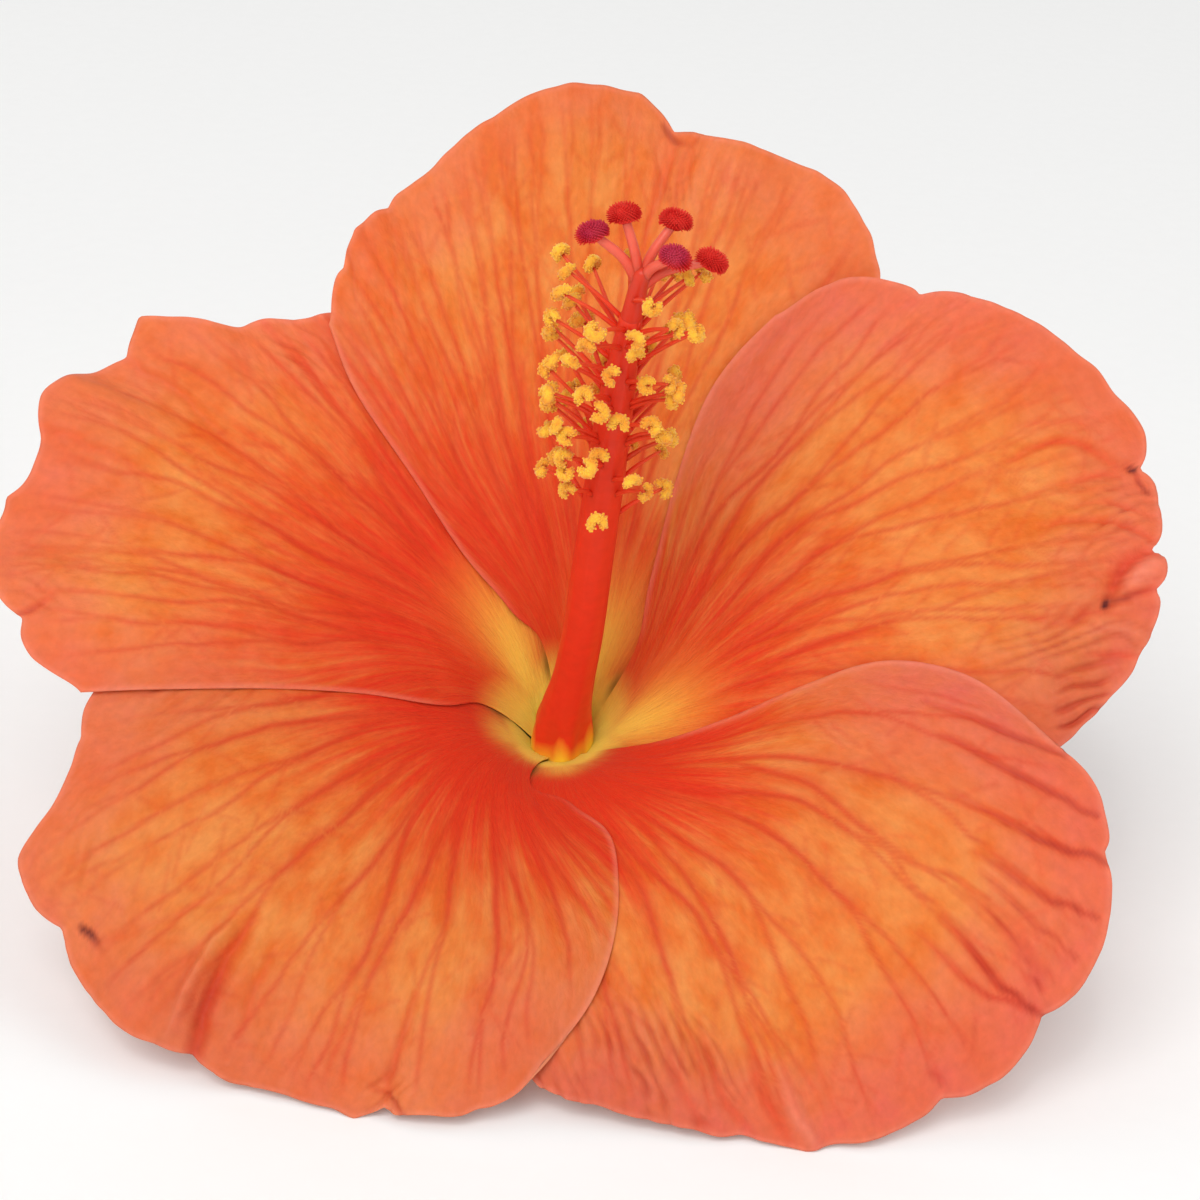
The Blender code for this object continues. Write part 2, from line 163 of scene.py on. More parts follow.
@dataclass
class Shading:
    """A material under construction: its tree, and short ways to join colours and numbers."""

    name: str

    def __post_init__(self) -> None:
        """Make the empty material."""
        self.material = bpy.data.materials.new(self.name)
        self.material.use_nodes = True
        self.tree = self.material.node_tree
        self.tree.nodes.clear()

    def add(self, kind: str, inputs: dict | None = None, **settings: object) -> bpy.types.Node:
        """Add a node to this material's tree."""
        return add_node(self.tree, kind, inputs, **settings)

    def read(self, attribute: str) -> bpy.types.NodeSocket:
        """Read a number kept on the mesh."""
        return self.add("ShaderNodeAttribute", attribute_name=attribute).outputs["Fac"]

    def blend(
        self, share: object, first: object, second: object, mode: str = "MIX"
    ) -> bpy.types.NodeSocket:
        """Blend two colours.

        Args:
            share: How much of the second, a number or an output.
            first: A colour or an output.
            second: A colour or an output.
            mode: Blender's name of the blend.

        Returns:
            The blended colour's socket.
        """
        node = self.add(
            "ShaderNodeMix", {0: share, 6: first, 7: second}, data_type="RGBA", blend_type=mode
        )
        return node.outputs[2]

    def join(
        self, first: object, second: object, how: str = "MULTIPLY", clamp: bool = False
    ) -> bpy.types.NodeSocket:
        """Join two numbers into one.

        Args:
            first: A number or an output.
            second: A number or an output.
            how: Blender's name of the rule.
            clamp: Whether the result is held between 0 and 1.

        Returns:
            The result's socket.
        """
        node = self.add("ShaderNodeMath", {0: first, 1: second}, operation=how, use_clamp=clamp)
        return node.outputs[0]

    def remap(
        self, value: object, low: float, high: float, start: float = 0.0, end: float = 1.0
    ) -> bpy.types.NodeSocket:
        """Map a number from one span to another, held at both ends.

        Args:
            value: The number's socket.
            low: Where the first span starts.
            high: Where it ends.
            start: What low becomes.
            end: What high becomes.

        Returns:
            The mapped number's socket.
        """
        node = self.add("ShaderNodeMapRange", {0: value, 1: low, 2: high, 3: start, 4: end})
        return node.outputs[0]

    def toned(self, colour: object, tone: object) -> bpy.types.NodeSocket:
        """Make a colour lighter or darker.

        Args:
            colour: The colour's socket.
            tone: The factor's socket, 1 for no change.

        Returns:
            The toned colour's socket.
        """
        grey = self.add("ShaderNodeCombineColor", {0: tone, 1: tone, 2: tone}).outputs[0]
        return self.blend(1.0, colour, grey, "MULTIPLY")

    def noise(
        self, place: object, scale: float, detail: float = 2.0, stretch: tuple = (1, 1, 1)
    ) -> bpy.types.NodeSocket:
        """Noise on a stretched copy of a coordinate.

        Args:
            place: The coordinate's socket.
            scale: Lumps to one unit of the coordinate.
            detail: Octaves of finer noise.
            stretch: Factors that narrow the lumps along each axis.

        Returns:
            The noise value's socket, from 0 to 1.
        """
        spread = self.add("ShaderNodeMapping", {"Vector": place, "Scale": stretch})
        inputs = {"Vector": spread.outputs[0], "Scale": scale, "Detail": detail}
        return self.add("ShaderNodeTexNoise", inputs).outputs[0]

    def bump(
        self, height: object, depth: float, strength: float, normal: object = None
    ) -> bpy.types.NodeSocket:
        """Turn a height pattern into relief.

        Args:
            height: The pattern's socket.
            depth: Its depth in metres.
            strength: How much of the relief shows.
            normal: Relief that it is laid over.

        Returns:
            The relief's socket.
        """
        inputs = {"Height": height, "Distance": depth, "Strength": strength}
        if normal is not None:
            inputs["Normal"] = normal
        return self.add("ShaderNodeBump", inputs).outputs[0]

    def finish(self, **inputs: object) -> bpy.types.Material:
        """Close the material with a Principled shader.

        Args:
            inputs: The shader's sockets, with spaces in their names as underscores.

        Returns:
            The finished material.
        """
        named = {key.replace("_", " "): value for key, value in inputs.items()}
        shader = self.add("ShaderNodeBsdfPrincipled", named, subsurface_method="RANDOM_WALK")
        self.add("ShaderNodeOutputMaterial", {0: shader.outputs[0]})
        return self.material


@dataclass(frozen=True)
class Placement:
    """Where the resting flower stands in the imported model's frame."""

    tilt: float = 20.9
    roll: float = -4.6
    throat: tuple[float, float, float] = (0.0, 7.5, 20.9)

    def matrix(self) -> Matrix:
        """Work out the change of frame.

        Returns:
            From the flower's frame in millimetres to the model's frame in metres.
        """
        turn = Matrix.Rotation(math.radians(self.roll), 4, "Y")
        turn = turn @ Matrix.Rotation(math.radians(self.tilt), 4, "X")
        place = Matrix.Translation(Vector(self.throat) * MM)
        return place @ turn @ Matrix.Scale(MM, 4)

    def node_centre(self, node: str) -> Vector:
        """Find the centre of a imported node's box.

        Args:
            node: The node's name.

        Returns:
            The centre, in the flower's frame.
        """
        low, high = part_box(node)
        return self.matrix().inverted() @ ((Vector(low) + Vector(high)) / 2)


@dataclass
class Workshop:
    """Turns meshes made in the flower's frame into placed, dressed and riding pieces."""

    placement: Placement = field(default_factory=Placement)
    resting_band: float = 4.0

    def settle(self, mesh: bpy.types.Mesh) -> None:
        """Squash the lowest few millimetres of a placed mesh, so that it rests on the floor.

        Args:
            mesh: The placed mesh, in metres.
        """
        places = np.empty(len(mesh.vertices) * 3, np.float32)
        mesh.vertices.foreach_get("co", places)
        height = places[2::3]
        low, band = float(height.min()), self.resting_band * MM
        if low >= 0:
            return
        near = height < band
        height[near] = band - (band - height[near]) * band / (band - low)
        mesh.vertices.foreach_set("co", places)

    def piece(
        self,
        name: str,
        mesh: bpy.types.Mesh,
        material: bpy.types.Material,
        slot: Slot,
        nodes: tuple[str, ...] = (),
    ) -> bpy.types.Object:
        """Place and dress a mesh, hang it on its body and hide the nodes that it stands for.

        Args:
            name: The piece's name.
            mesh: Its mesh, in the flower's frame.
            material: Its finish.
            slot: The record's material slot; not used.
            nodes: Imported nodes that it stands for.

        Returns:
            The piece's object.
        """
        mesh.name = name
        mesh.transform(self.placement.matrix())
        self.settle(mesh)
        mesh.materials.clear()
        mesh.materials.append(material)
        mesh.shade_smooth()
        item = bpy.data.objects.new(name, mesh)
        bpy.context.scene.collection.objects.link(item)
        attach(item, BODY)
        if nodes:
            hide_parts(*nodes)
        LOG.info("%s: %d faces for %s", name, len(mesh.polygons), ", ".join(nodes) or "no node")
        return item

    @staticmethod
    def mesh_of(bm: bmesh.types.BMesh, name: str) -> bpy.types.Mesh:
        """Write a bmesh to a new mesh and free it.

        Args:
            bm: The bmesh.
            name: The mesh's name.

        Returns:
            The mesh.
        """
        mesh = bpy.data.meshes.new(name)
        bm.to_mesh(mesh)
        bm.free()
        return mesh


def keep(mesh: bpy.types.Mesh, name: str, values: np.ndarray) -> None:
    """Keep one number per point on a mesh, for its material to read.

    Args:
        mesh: The mesh.
        name: What the number is called.
        values: One for each of its points.
    """
    layer = mesh.attributes.new(name, "FLOAT", "POINT")
    layer.data.foreach_set("value", np.ascontiguousarray(values, dtype=np.float32))


def sweep(
    bm: bmesh.types.BMesh,
    path: list[Vector],
    radii: list[float],
    sides: int,
    flatten: float = 1.0,
    round_ends: bool = False,
) -> list[bmesh.types.BMVert]:
    """Sweep a closed section along a path.

    Args:
        bm: Where it is added.
        path: The points of its middle line.
        radii: The section's radius at each point.
        sides: Corners of the section.
        flatten: Thickness over width of the section.
        round_ends: Whether a last small ring rounds the far end.

    Returns:
        The tube's vertices, ring by ring.
    """
    if round_ends:
        end, girth, out = path[-1], radii[-1], (path[-1] - path[-2]).normalized()
        path = path + [end + out * girth * far for far, _ in ROUND_END]
        radii = radii + [girth * share for _, share in ROUND_END]
    heading = path[1] - path[0]
    turn = heading.to_track_quat("Z", "Y").to_matrix()
    face, last, made = None, None, []
    for index, (point, radius) in enumerate(zip(path, radii)):
        onward = path[min(index + 1, len(path) - 1)] - path[max(index - 1, 0)]
        turn = heading.rotation_difference(onward).to_matrix() @ turn
        heading = onward
        size = Matrix.Diagonal((radius, radius * flatten, 1.0, 1.0))
        place = Matrix.Translation(point) @ turn.to_4x4() @ size
        if face is None:
            ring = bmesh.ops.create_circle(
                bm, cap_ends=True, segments=sides, radius=1.0, matrix=place
            )
            face = ring["verts"][0].link_faces[0]
            first = face
        else:
            grown = bmesh.ops.extrude_face_region(bm, geom=[face], use_keep_orig=True)
            if index > 1:
                bmesh.ops.delete(bm, geom=[face], context="FACES_ONLY")
            face = next(g for g in grown["geom"] if isinstance(g, bmesh.types.BMFace))
            bmesh.ops.transform(bm, matrix=place @ last.inverted(), verts=face.verts)
        last = place
        made.extend(face.verts)
    bmesh.ops.recalc_face_normals(bm, faces=list({f for v in made for f in v.link_faces} | {first}))
    return made


def curve_through(points: list[Vector], count: int) -> list[Vector]:
    """Read an even, smooth curve through a few points.

    Args:
        points: Points that the curve passes through.
        count: How many points to return.

    Returns:
        Points along the curve.
    """
    knots = np.array([p[:] for p in points], float)
    steps = np.linalg.norm(np.diff(knots, axis=0), axis=1)
    at = np.concatenate(([0.0], np.cumsum(steps))) / steps.sum()
    return [Vector(row) for row in hermite(at, knots, np.linspace(0, 1, count))]


def hermite(at: np.ndarray, knots: np.ndarray, share: np.ndarray) -> np.ndarray:
    """Read a smooth line through knots.

    Args:
        at: Share of the line at each knot.
        knots: One row for each knot.
        share: Where the line is read, from 0 to 1.

    Returns:
        One row for each share.
    """
    slope = np.gradient(knots, at, axis=0)
    left = np.clip(np.searchsorted(at, share, side="right") - 1, 0, len(at) - 2)
    span = (at[left + 1] - at[left])[:, None]
    t = (share - at[left])[:, None] / span
    return (
        (2 * t**3 - 3 * t**2 + 1) * knots[left]
        + (t**3 - 2 * t**2 + t) * span * slope[left]
        + (3 * t**2 - 2 * t**3) * knots[left + 1]
        + (t**3 - t**2) * span * slope[left + 1]
    )


def smooth_line(points: Outline, share: np.ndarray) -> np.ndarray:
    """Read a smooth line through plane points.

    Args:
        points: Points that the line passes through.
        share: Shares of its length, from 0 to 1.

    Returns:
        One row for each share.
    """
    knots = np.array(points, float)
    steps = np.hypot(*np.diff(knots, axis=0).T)
    at = np.concatenate(([0.0], np.cumsum(steps))) / steps.sum()
    return hermite(at, knots, np.asarray(share, float))


def nearest(spots: np.ndarray, points: np.ndarray) -> tuple[np.ndarray, np.ndarray]:
    """Find the nearest of many spots to each point.

    Args:
        spots: Where to look.
        points: What looks.

    Returns:
        Index of the nearest spot and the distance to it, for each point.
    """
    tree = KDTree(len(spots))
    for index, spot in enumerate(spots):
        tree.insert(spot, index)
    tree.balance()
    found = [tree.find(point)[1:] for point in points]
    return np.array([f[0] for f in found]), np.array([f[1] for f in found])


@dataclass(frozen=True)
class Funnel:
    """The curved surface that the five petals share, and the calyx behind them."""

    claw_radius: float = 3.9
    base_slope: float = 54.0
    base_slope_swing: float = 12.0
    rim_slope: float = -6.0
    rim_slope_swing: float = 38.0
    front_reflex: float = 36.0
    slope_run: float = 78.0
    slope_curve: float = 1.5
    steps: int = 48

    def points(
        self, azimuth: np.ndarray, along: np.ndarray, lift: np.ndarray | float
    ) -> np.ndarray:
        """Points of the funnel.

        Args:
            azimuth: Degrees round the axis.
            along: Millimetres up the surface from the throat.
            lift: Millimetres off the surface, towards the axis.

        Returns:
            One row of x, y and height for each point.
        """
        turn = np.radians(azimuth)
        side = np.sin(turn)
        start = self.base_slope + self.base_slope_swing * side
        end = self.rim_slope + self.rim_slope_swing * side
        end = end - self.front_reflex * np.clip(-side, 0, 1) ** 1.5
        walked = np.linspace(0, 1, self.steps + 1)[:, None] * along[None, :]
        bent = 1 - np.abs(1 - np.clip(walked / self.slope_run, 0, 1)) ** self.slope_curve
        slope = np.radians(start + (end - start) * bent)
        step = along / self.steps
        out = self.claw_radius + (np.cos(slope[1:]) + np.cos(slope[:-1])).sum(0) * step / 2
        height = (np.sin(slope[1:]) + np.sin(slope[:-1])).sum(0) * step / 2
        out = out - np.sin(slope[-1]) * lift
        height = height + np.cos(slope[-1]) * lift
        return np.stack([out * np.cos(turn), out * np.sin(turn), height], -1)


@dataclass(frozen=True)
class Fold:
    """A broad pleat that runs out to the rim.

    Its middle and half width are in degrees, its start up the petal and its lift in mm.
    """

    middle: float
    width: float
    start: float
    lift: float


@dataclass(frozen=True)
class Notch:
    """A nick in the rim: middle and half width in degrees, depth in mm (below 0 is a bulge)."""

    middle: float
    width: float
    depth: float


@dataclass(frozen=True)
class Crease:
    """A sharp valley pressed into the petal.

    Its course is given as degrees from the middle and mm up the petal, its half width and depth
    in mm (a depth below 0 is a ridge), and how red, dark or pale it is drawn, from 0 to 1.
    Dark is a bruise where strong and painted shade along faint creases; pale is a painted
    highlight on a ridge.
    """

    course: Outline
    width: float
    depth: float
    red: float = 0.0
    dark: float = 0.0
    # Paleness is a painted highlight along a ridge.
    pale: float = 0.0


@dataclass(frozen=True)
class Crumple:
    """A finely wrinkled patch of petal.

    Its middle and half widths are in degrees and mm and its depth is in mm; the last field is how
    much painted shade darkens the patch, from 0 to 1. The material also paints shade in its
    valleys and light on its ridges.
    """

    offset: float
    reach: float
    spread: float
    length: float
    depth: float
    painted_shade: float = 0.0


@dataclass(frozen=True)
class Petal:
    """One petal: its outline, pleats and marks. Angles are degrees from its middle."""

    node: str
    middle: float
    raised: Outline
    rim: Outline
    tucked: Outline
    folds: tuple[Fold, ...]
    notches: tuple[Notch, ...]
    creases: tuple[Crease, ...]
    crumples: tuple[Crumple, ...]
    flame_reach: float
    flame_strength: float
    flame_lean: float
    gold_reach: float
    pinkness: float
    tone: float
    seed: int


CLAW = ((-62.5, -2.2), (8.5, -2.2))

PETALS = (
    Petal(
        node="petal_top",
        middle=90.0,
        raised=((3, 0), (13, 5), (34, 13), (43, 20), (45, 30), (45, 40), (42, 48)),
        rim=((42, 48), (36, 51), (27, 55), (17, 58), (8, 62), (-3, 64), (-12, 63), (-18, 61),
             (-26, 61), (-36, 61), (-46, 56), (-52, 49)),
        tucked=((-59, 0), (-58, 12), (-56, 25), (-55, 38), (-52, 49)),
        folds=(Fold(0, 9, 34, 1.6), Fold(-14, 5, 44, -1.6), Fold(-24, 6, 40, 1.6),
               Fold(24, 8, 36, -1.2)),
        notches=(Notch(36, 1.6, 0.9), Notch(32, 1.5, -0.6), Notch(26, 1.3, 0.7),
                 Notch(-15, 1.6, 1.2), Notch(-10, 2.0, -0.7)),
        creases=(
            Crease(((-13.5, 61.5), (-15.5, 60), (-17.5, 59.8)), 0.4, 0.25, 0.4, 0.4),
            Crease(((-15.5, 60), (-15, 54), (-14, 48)), 0.55, 0.45, 0.45),
            Crease(((-18, 60), (-18.5, 55), (-17.5, 50)), 0.45, 0.35, 0.3),
        ),
        crumples=(Crumple(-17, 56, 8, 6, 0.12), Crumple(33, 49, 6, 6, 0.12)),
        flame_reach=37.0,
        flame_strength=0.86,
        flame_lean=13.0,
        gold_reach=21.0,
        pinkness=0.4,
        tone=0.98,
        seed=1,
    ),
    Petal(
        node="petal_upper_right",
        middle=18.0,
        raised=((3, 0), (12, 7), (27, 17), (35, 28), (37, 37), (33, 48)),
        rim=((33, 48), (26, 53), (15, 58), (6, 63), (-2, 66), (-12, 64), (-22, 62), (-29, 56),
             (-37, 50), (-44, 44)),
        tucked=((-59, 0), (-58, 12), (-55, 25), (-50, 36), (-44, 44)),
        folds=(Fold(14, 8, 36, 1.2), Fold(-6, 7, 40, -1.8), Fold(-18, 5, 42, 1.6),
               Fold(-31, 8, 42, -2.6)),
        notches=(Notch(18.5, 1.0, 0.9), Notch(-6.3, 1.0, 1.5), Notch(-15.3, 1.1, 1.3),
                 Notch(-19.5, 0.7, 1.0), Notch(-22, 5.0, 1.0)),
        creases=(
            Crease(((-6.2, 63.6), (-5.6, 62.8)), 0.4, 0.3, 0.6, 0.9),
            Crease(((-8.8, 64), (-7.6, 63.6), (-6.2, 63.6)), 0.34, 0.1, 0.5, 0.45),
            Crease(((-5.6, 62), (-2.5, 58), (-2.5, 52)), 0.42, 0.6, 0.9),
            Crease(((-6.5, 62), (-6.5, 56), (-7.5, 50)), 0.42, 0.5, 0.6),
            Crease(((-1.5, 61), (0.5, 56), (0, 50)), 0.38, 0.4, 0.6),
            Crease(((-14.8, 63.2), (-12, 59), (-11, 52)), 0.42, 0.5, 0.7),
            Crease(((-11.5, 63), (-9.5, 59), (-9.5, 54)), 0.36, 0.35, 0.5),
            Crease(((-20.8, 56.3), (-20.5, 56.6), (-20.2, 57.0)), 0.45, 0.35, 0.4, 0.95),
            Crease(((-20.5, 56.6), (-17.5, 58.6), (-15.5, 62.5)), 0.75, 0.8, 0.9, 0.12),
            Crease(((-20.5, 57), (-20, 59.5), (-19.5, 62)), 0.36, 0.55, 0.8, 0.35),
            Crease(((-19, 59), (-18, 60.5), (-17, 62.5)), 1.1, -0.35, pale=0.8),
            Crease(((-23, 60), (-22.5, 57), (-23, 54)), 0.5, -0.4, pale=0.35),
            Crease(((-24.5, 59.5), (-24.5, 57), (-25, 54)), 0.36, 0.35, 0.7),
            Crease(((-21, 57), (-22, 52), (-21, 46)), 0.45, 0.3, 0.5),
        ),
        # A crumple's sixth number darkens it with painted shade.
        crumples=(Crumple(-30, 53, 10, 8, 0.3, 0.9), Crumple(-13, 60, 9, 5, 0.2, 0.1),
                  Crumple(12, 56, 10, 5, 0.1)),
        flame_reach=34.0,
        flame_strength=0.72,
        flame_lean=-9.0,
        gold_reach=20.0,
        pinkness=0.75,
        tone=0.98,
        seed=2,
    ),
    Petal(
        node="petal_lower_right",
        middle=-54.0,
        raised=((3, 0), (18, 8), (31, 18), (40, 27), (44, 35), (43, 43), (39, 50)),
        rim=((39, 50), (33, 56), (25, 60), (14, 61), (5, 59), (-5, 56), (-17, 50), (-29, 45),
             (-38, 42), (-47, 37)),
        tucked=((-59, 0), (-58, 10), (-55, 20), (-51, 30), (-47, 37)),
        folds=(Fold(25, 7, 36, 1.4), Fold(8, 6, 40, -1.6), Fold(-8, 6, 38, 1.0),
               Fold(-22, 6, 36, -1.0)),
        notches=(Notch(29, 1.2, 1.0), Notch(16, 2.0, 1.5), Notch(5.5, 1.6, 1.0),
                 Notch(-9, 2.0, -0.9), Notch(-15, 1.6, 0.6)),
        creases=(
            Crease(((16.5, 60), (15, 55), (15.5, 46)), 0.42, 0.7, 0.95, 0.3),
            Crease(((16.0, 58.5), (13.2, 53), (12.8, 45)), 0.38, 0.5, 0.85, 0.12),
            Crease(((17.5, 58), (18.5, 52), (19.5, 44)), 0.36, 0.45, 0.7, 0.15),
            Crease(((28.5, 58), (27, 52), (27.5, 42)), 0.4, 0.7, 0.9, 0.3),
            Crease(((31.5, 56), (32, 48), (34, 40)), 0.38, 0.6, 0.8, 0.25),
            Crease(((24.5, 59), (23, 54), (23, 46)), 0.38, 0.6, 0.7, 0.2),
            Crease(((36, 52), (36.5, 45), (38, 38)), 0.36, 0.5, 0.7, 0.2),
            Crease(((21, 59), (20.5, 54), (21.5, 47)), 0.36, 0.5, 0.6, 0.15),
            Crease(((-10.5, 53), (-11.5, 47), (-10.5, 40)), 0.55, 0.5, 0.6),
            Crease(((-8, 54.5), (-8.8, 50), (-8.5, 46)), 0.7, -0.8, pale=0.7),
            Crease(((-14, 51), (-16, 45), (-16, 38)), 0.45, 0.4, 0.5),
            Crease(((-19, 48), (-21, 42), (-21, 35)), 0.45, 0.4, 0.5),
            Crease(((6, 57), (5.5, 55.0)), 0.38, 0.3, 0.4, 0.15),
        ),
        # A crumple's sixth number darkens it with painted shade.
        crumples=(Crumple(-27, 43, 14, 8, 0.36, 0.75), Crumple(20, 55, 10, 7, 0.14)),
        flame_reach=27.0,
        flame_strength=0.95,
        flame_lean=0.0,
        gold_reach=7.0,
        pinkness=0.85,
        tone=0.97,
        seed=3,
    ),
    Petal(
        node="petal_lower_left",
        middle=-126.0,
        raised=((3, 0), (17, 7), (42, 13), (51, 19), (49, 25), (42, 35), (35, 41)),
        rim=((35, 41), (26, 45), (13, 49), (2, 52), (-8, 55), (-18, 58), (-29, 58), (-34, 52),
             (-42, 48), (-49, 43)),
        tucked=((-59, 0), (-58, 12), (-56, 24), (-53, 34), (-49, 43)),
        folds=(Fold(18, 8, 32, 1.0), Fold(2, 7, 36, -1.2), Fold(-12, 5, 30, 1.4),
               Fold(-22, 6, 38, -1.2)),
        notches=(Notch(15.5, 1.3, 0.9), Notch(12.5, 1.4, -0.6), Notch(-23.2, 1.9, 1.6),
                 Notch(-5.5, 2.0, 0.6), Notch(-38, 1.5, 0.6), Notch(-30, 1.6, -0.6)),
        creases=(
            Crease(((-21.8, 55.0), (-20.8, 54.5), (-19.3, 54.3)), 0.48, 0.4, 0.5, 0.8),
            Crease(((-20, 54), (-16, 46), (-13, 38)), 0.45, 0.25, 0.35),
            Crease(((-5.0, 54.5), (-6.5, 50), (-7.8, 44.5), (-9.0, 40)), 0.85, 1.4, 1.0, 0.12),
            Crease(((-8.4, 53.5), (-9.6, 48), (-10.6, 42.5)), 0.55, -0.9, pale=0.3),
            Crease(((-9.8, 50), (-11, 45), (-11.5, 40)), 0.35, 0.4, 0.4),
            Crease(((-2.5, 49), (-3.5, 45), (-5, 40)), 0.45, 0.3, 0.35),
            Crease(((18, 47.5), (16, 46.2), (13.5, 46)), 0.35, 0.4, 0.55, 0.2),
            Crease(((15.5, 47), (15, 43), (15.5, 36)), 0.5, 0.35, 0.5),
        ),
        # A crumple's sixth number darkens it with painted shade.
        crumples=(Crumple(14, 46, 5, 3, 0.2), Crumple(-25, 54, 7, 5, 0.14),
                  Crumple(-6, 50, 6, 7, 0.14, 0.3), Crumple(-44, 40, 8, 9, 0.16, 0.3)),
        flame_reach=31.0,
        flame_strength=0.95,
        flame_lean=0.0,
        gold_reach=8.0,
        pinkness=0.58,
        tone=0.92,
        seed=4,
    ),
    Petal(
        node="petal_upper_left",
        middle=162.0,
        raised=((3, 0), (18, 6), (33, 14), (33, 22), (32, 38), (30, 51)),
        rim=((30, 51), (23, 56), (15, 60), (8, 59), (0, 61), (-6, 59), (-13, 57), (-20, 51),
             (-29, 48), (-37, 45), (-46, 41)),
        tucked=((-59, 0), (-58, 12), (-56, 24), (-52, 33), (-46, 41)),
        folds=(Fold(14, 7, 36, -1.4), Fold(2, 6, 42, 1.6), Fold(-9, 5, 40, -2.0),
               Fold(-16, 5, 38, 1.4)),
        notches=(Notch(22.5, 1.2, 0.9), Notch(9.5, 1.2, -1.0), Notch(4.0, 2.2, 0.9),
                 Notch(-8.8, 2.0, 1.5), Notch(-13.0, 1.2, -1.2)),
        creases=(
            Crease(((22.5, 56), (20.5, 52.5)), 0.35, 0.35, 0.6, 0.2),
            Crease(((-8.5, 57), (-8, 50), (-6, 42)), 0.6, 0.5, 0.4),
            Crease(((3, 59), (3.5, 52), (4, 45)), 0.5, 0.3, 0.3),
        ),
        crumples=(Crumple(-22, 47, 8, 6, 0.14), Crumple(20, 52, 8, 6, 0.1)),
        flame_reach=44.0,
        flame_strength=0.86,
        flame_lean=-12.0,
        gold_reach=22.0,
        pinkness=0.6,
        tone=0.98,
        seed=5,
    ),
)


@dataclass(frozen=True)
class Fan:
    """How lines that start side by side on the claw spread over the blade, in degrees and mm."""

    claw_start: float = -57.0
    claw_span: float = 58.0
    blade_start: float = -62.0
    blade_span: float = 120.0
    run: float = 30.0

    def ease(self, reach: np.ndarray) -> np.ndarray:
        """Share of the spread that is reached."""
        return 1 - (1 - np.clip(reach / self.run, 0, 1)) ** 1.7

    def offset(self, line: np.ndarray, reach: np.ndarray) -> np.ndarray:
        """Find where a line runs.

        Args:
            line: 0 for the line on the tucked side, 1 for the one on the raised side.
            reach: Millimetres up the petal.

        Returns:
            Degrees from the petal's middle.
        """
        claw = self.claw_start + self.claw_span * line
        blade = self.blade_start + self.blade_span * line
        return claw + (blade - claw) * self.ease(reach)

    def line(self, offset: np.ndarray, reach: np.ndarray) -> np.ndarray:
        """Find which line passes a place: the inverse of offset.

        Args:
            offset: Degrees from the petal's middle.
            reach: Millimetres up the petal.

        Returns:
            The line, as in offset.
        """
        start = self.claw_start + (self.blade_start - self.claw_start) * self.ease(reach)
        span = self.claw_span + (self.blade_span - self.claw_span) * self.ease(reach)
        return (offset - start) / span


@dataclass
class Veins:
    """Forking veins of a petal, each a course of fan line and mm up the petal."""

    seed: int
    primaries: int = 9
    forks: tuple[tuple[float, float], ...] = ((11.0, 21.0), (26.0, 38.0), (44.0, 54.0))
    half_widths: tuple[float, ...] = (0.34, 0.31, 0.28, 0.26)
    strengths: tuple[float, ...] = (1.0, 0.88, 0.68, 0.45)
    tip: float = 68.0
    links: int = 140
    link_reach: tuple[float, float] = (26.0, 62.0)
    link_length: float = 3.2
    link_width: float = 0.26
    link_strength: float = 0.32
    wander: float = 0.007
    fine_wander: float = 0.0015
    step: float = 0.13

    def __post_init__(self) -> None:
        """Grow the whole network."""
        self.chance = random.Random(self.seed)
        self.runs: list[tuple[np.ndarray, float, float, int]] = []
        gap = 1.0 / self.primaries
        for index in range(self.primaries):
            start = (index + 0.5 + self.chance.uniform(-0.2, 0.2)) * gap
            self.grow(start, 0.0, 0.0, gap, 0)
        for _ in range(self.links):
            self.link()

    def grow(self, line: float, reach: float, shift: float, gap: float, level: int) -> None:
        """Grow one vein up to its fork, and then both of its branches.

        Args:
            line: Fan line on which it starts.
            reach: Where it starts up the petal.
            shift: How far it drifts sideways to its own line.
            gap: Space between veins of its level.
            level: How many forks lie below it.
        """
        last = level == len(self.forks)
        end = self.tip if last else self.chance.uniform(*self.forks[level])
        course = np.arange(reach, end, self.step)
        ease = 1 - (1 - np.clip((course - reach) / 16.0, 0, 1)) ** 1.6
        phase = self.chance.uniform(0, 99)
        wobble = soft_noise(course / 7 + phase, course * 0, self.seed) * self.wander
        wobble += soft_noise(course / 2 + phase, course * 0, self.seed) * self.fine_wander
        run = line + shift * ease + wobble * smooth(course, reach, reach + 8)
        places = np.stack([run, course], -1)
        self.runs.append((places, self.half_widths[level], self.strengths[level], level))
        if last:
            return
        away = self.chance.choice((-1, 1))
        share = self.chance.uniform(0.06, 0.18)
        self.grow(run[-1], end, -away * gap * share, gap / 2, level + 1)
        self.grow(run[-1], end, away * gap * (0.55 - share), gap / 2, level + 1)

    def link(self) -> None:
        """Add a short slanting vein between two neighbours."""
        reach = self.chance.uniform(*self.link_reach)
        line = self.chance.uniform(0.03, 0.97)
        lean = self.chance.choice((-1, 1)) * self.chance.uniform(0.02, 0.04)
        course = np.linspace(0, 1, 30)
        run = np.stack([line + lean * course, reach + self.link_length * course**1.3], -1)
        self.runs.append((run, self.link_width, self.link_strength, len(self.forks) + 1))


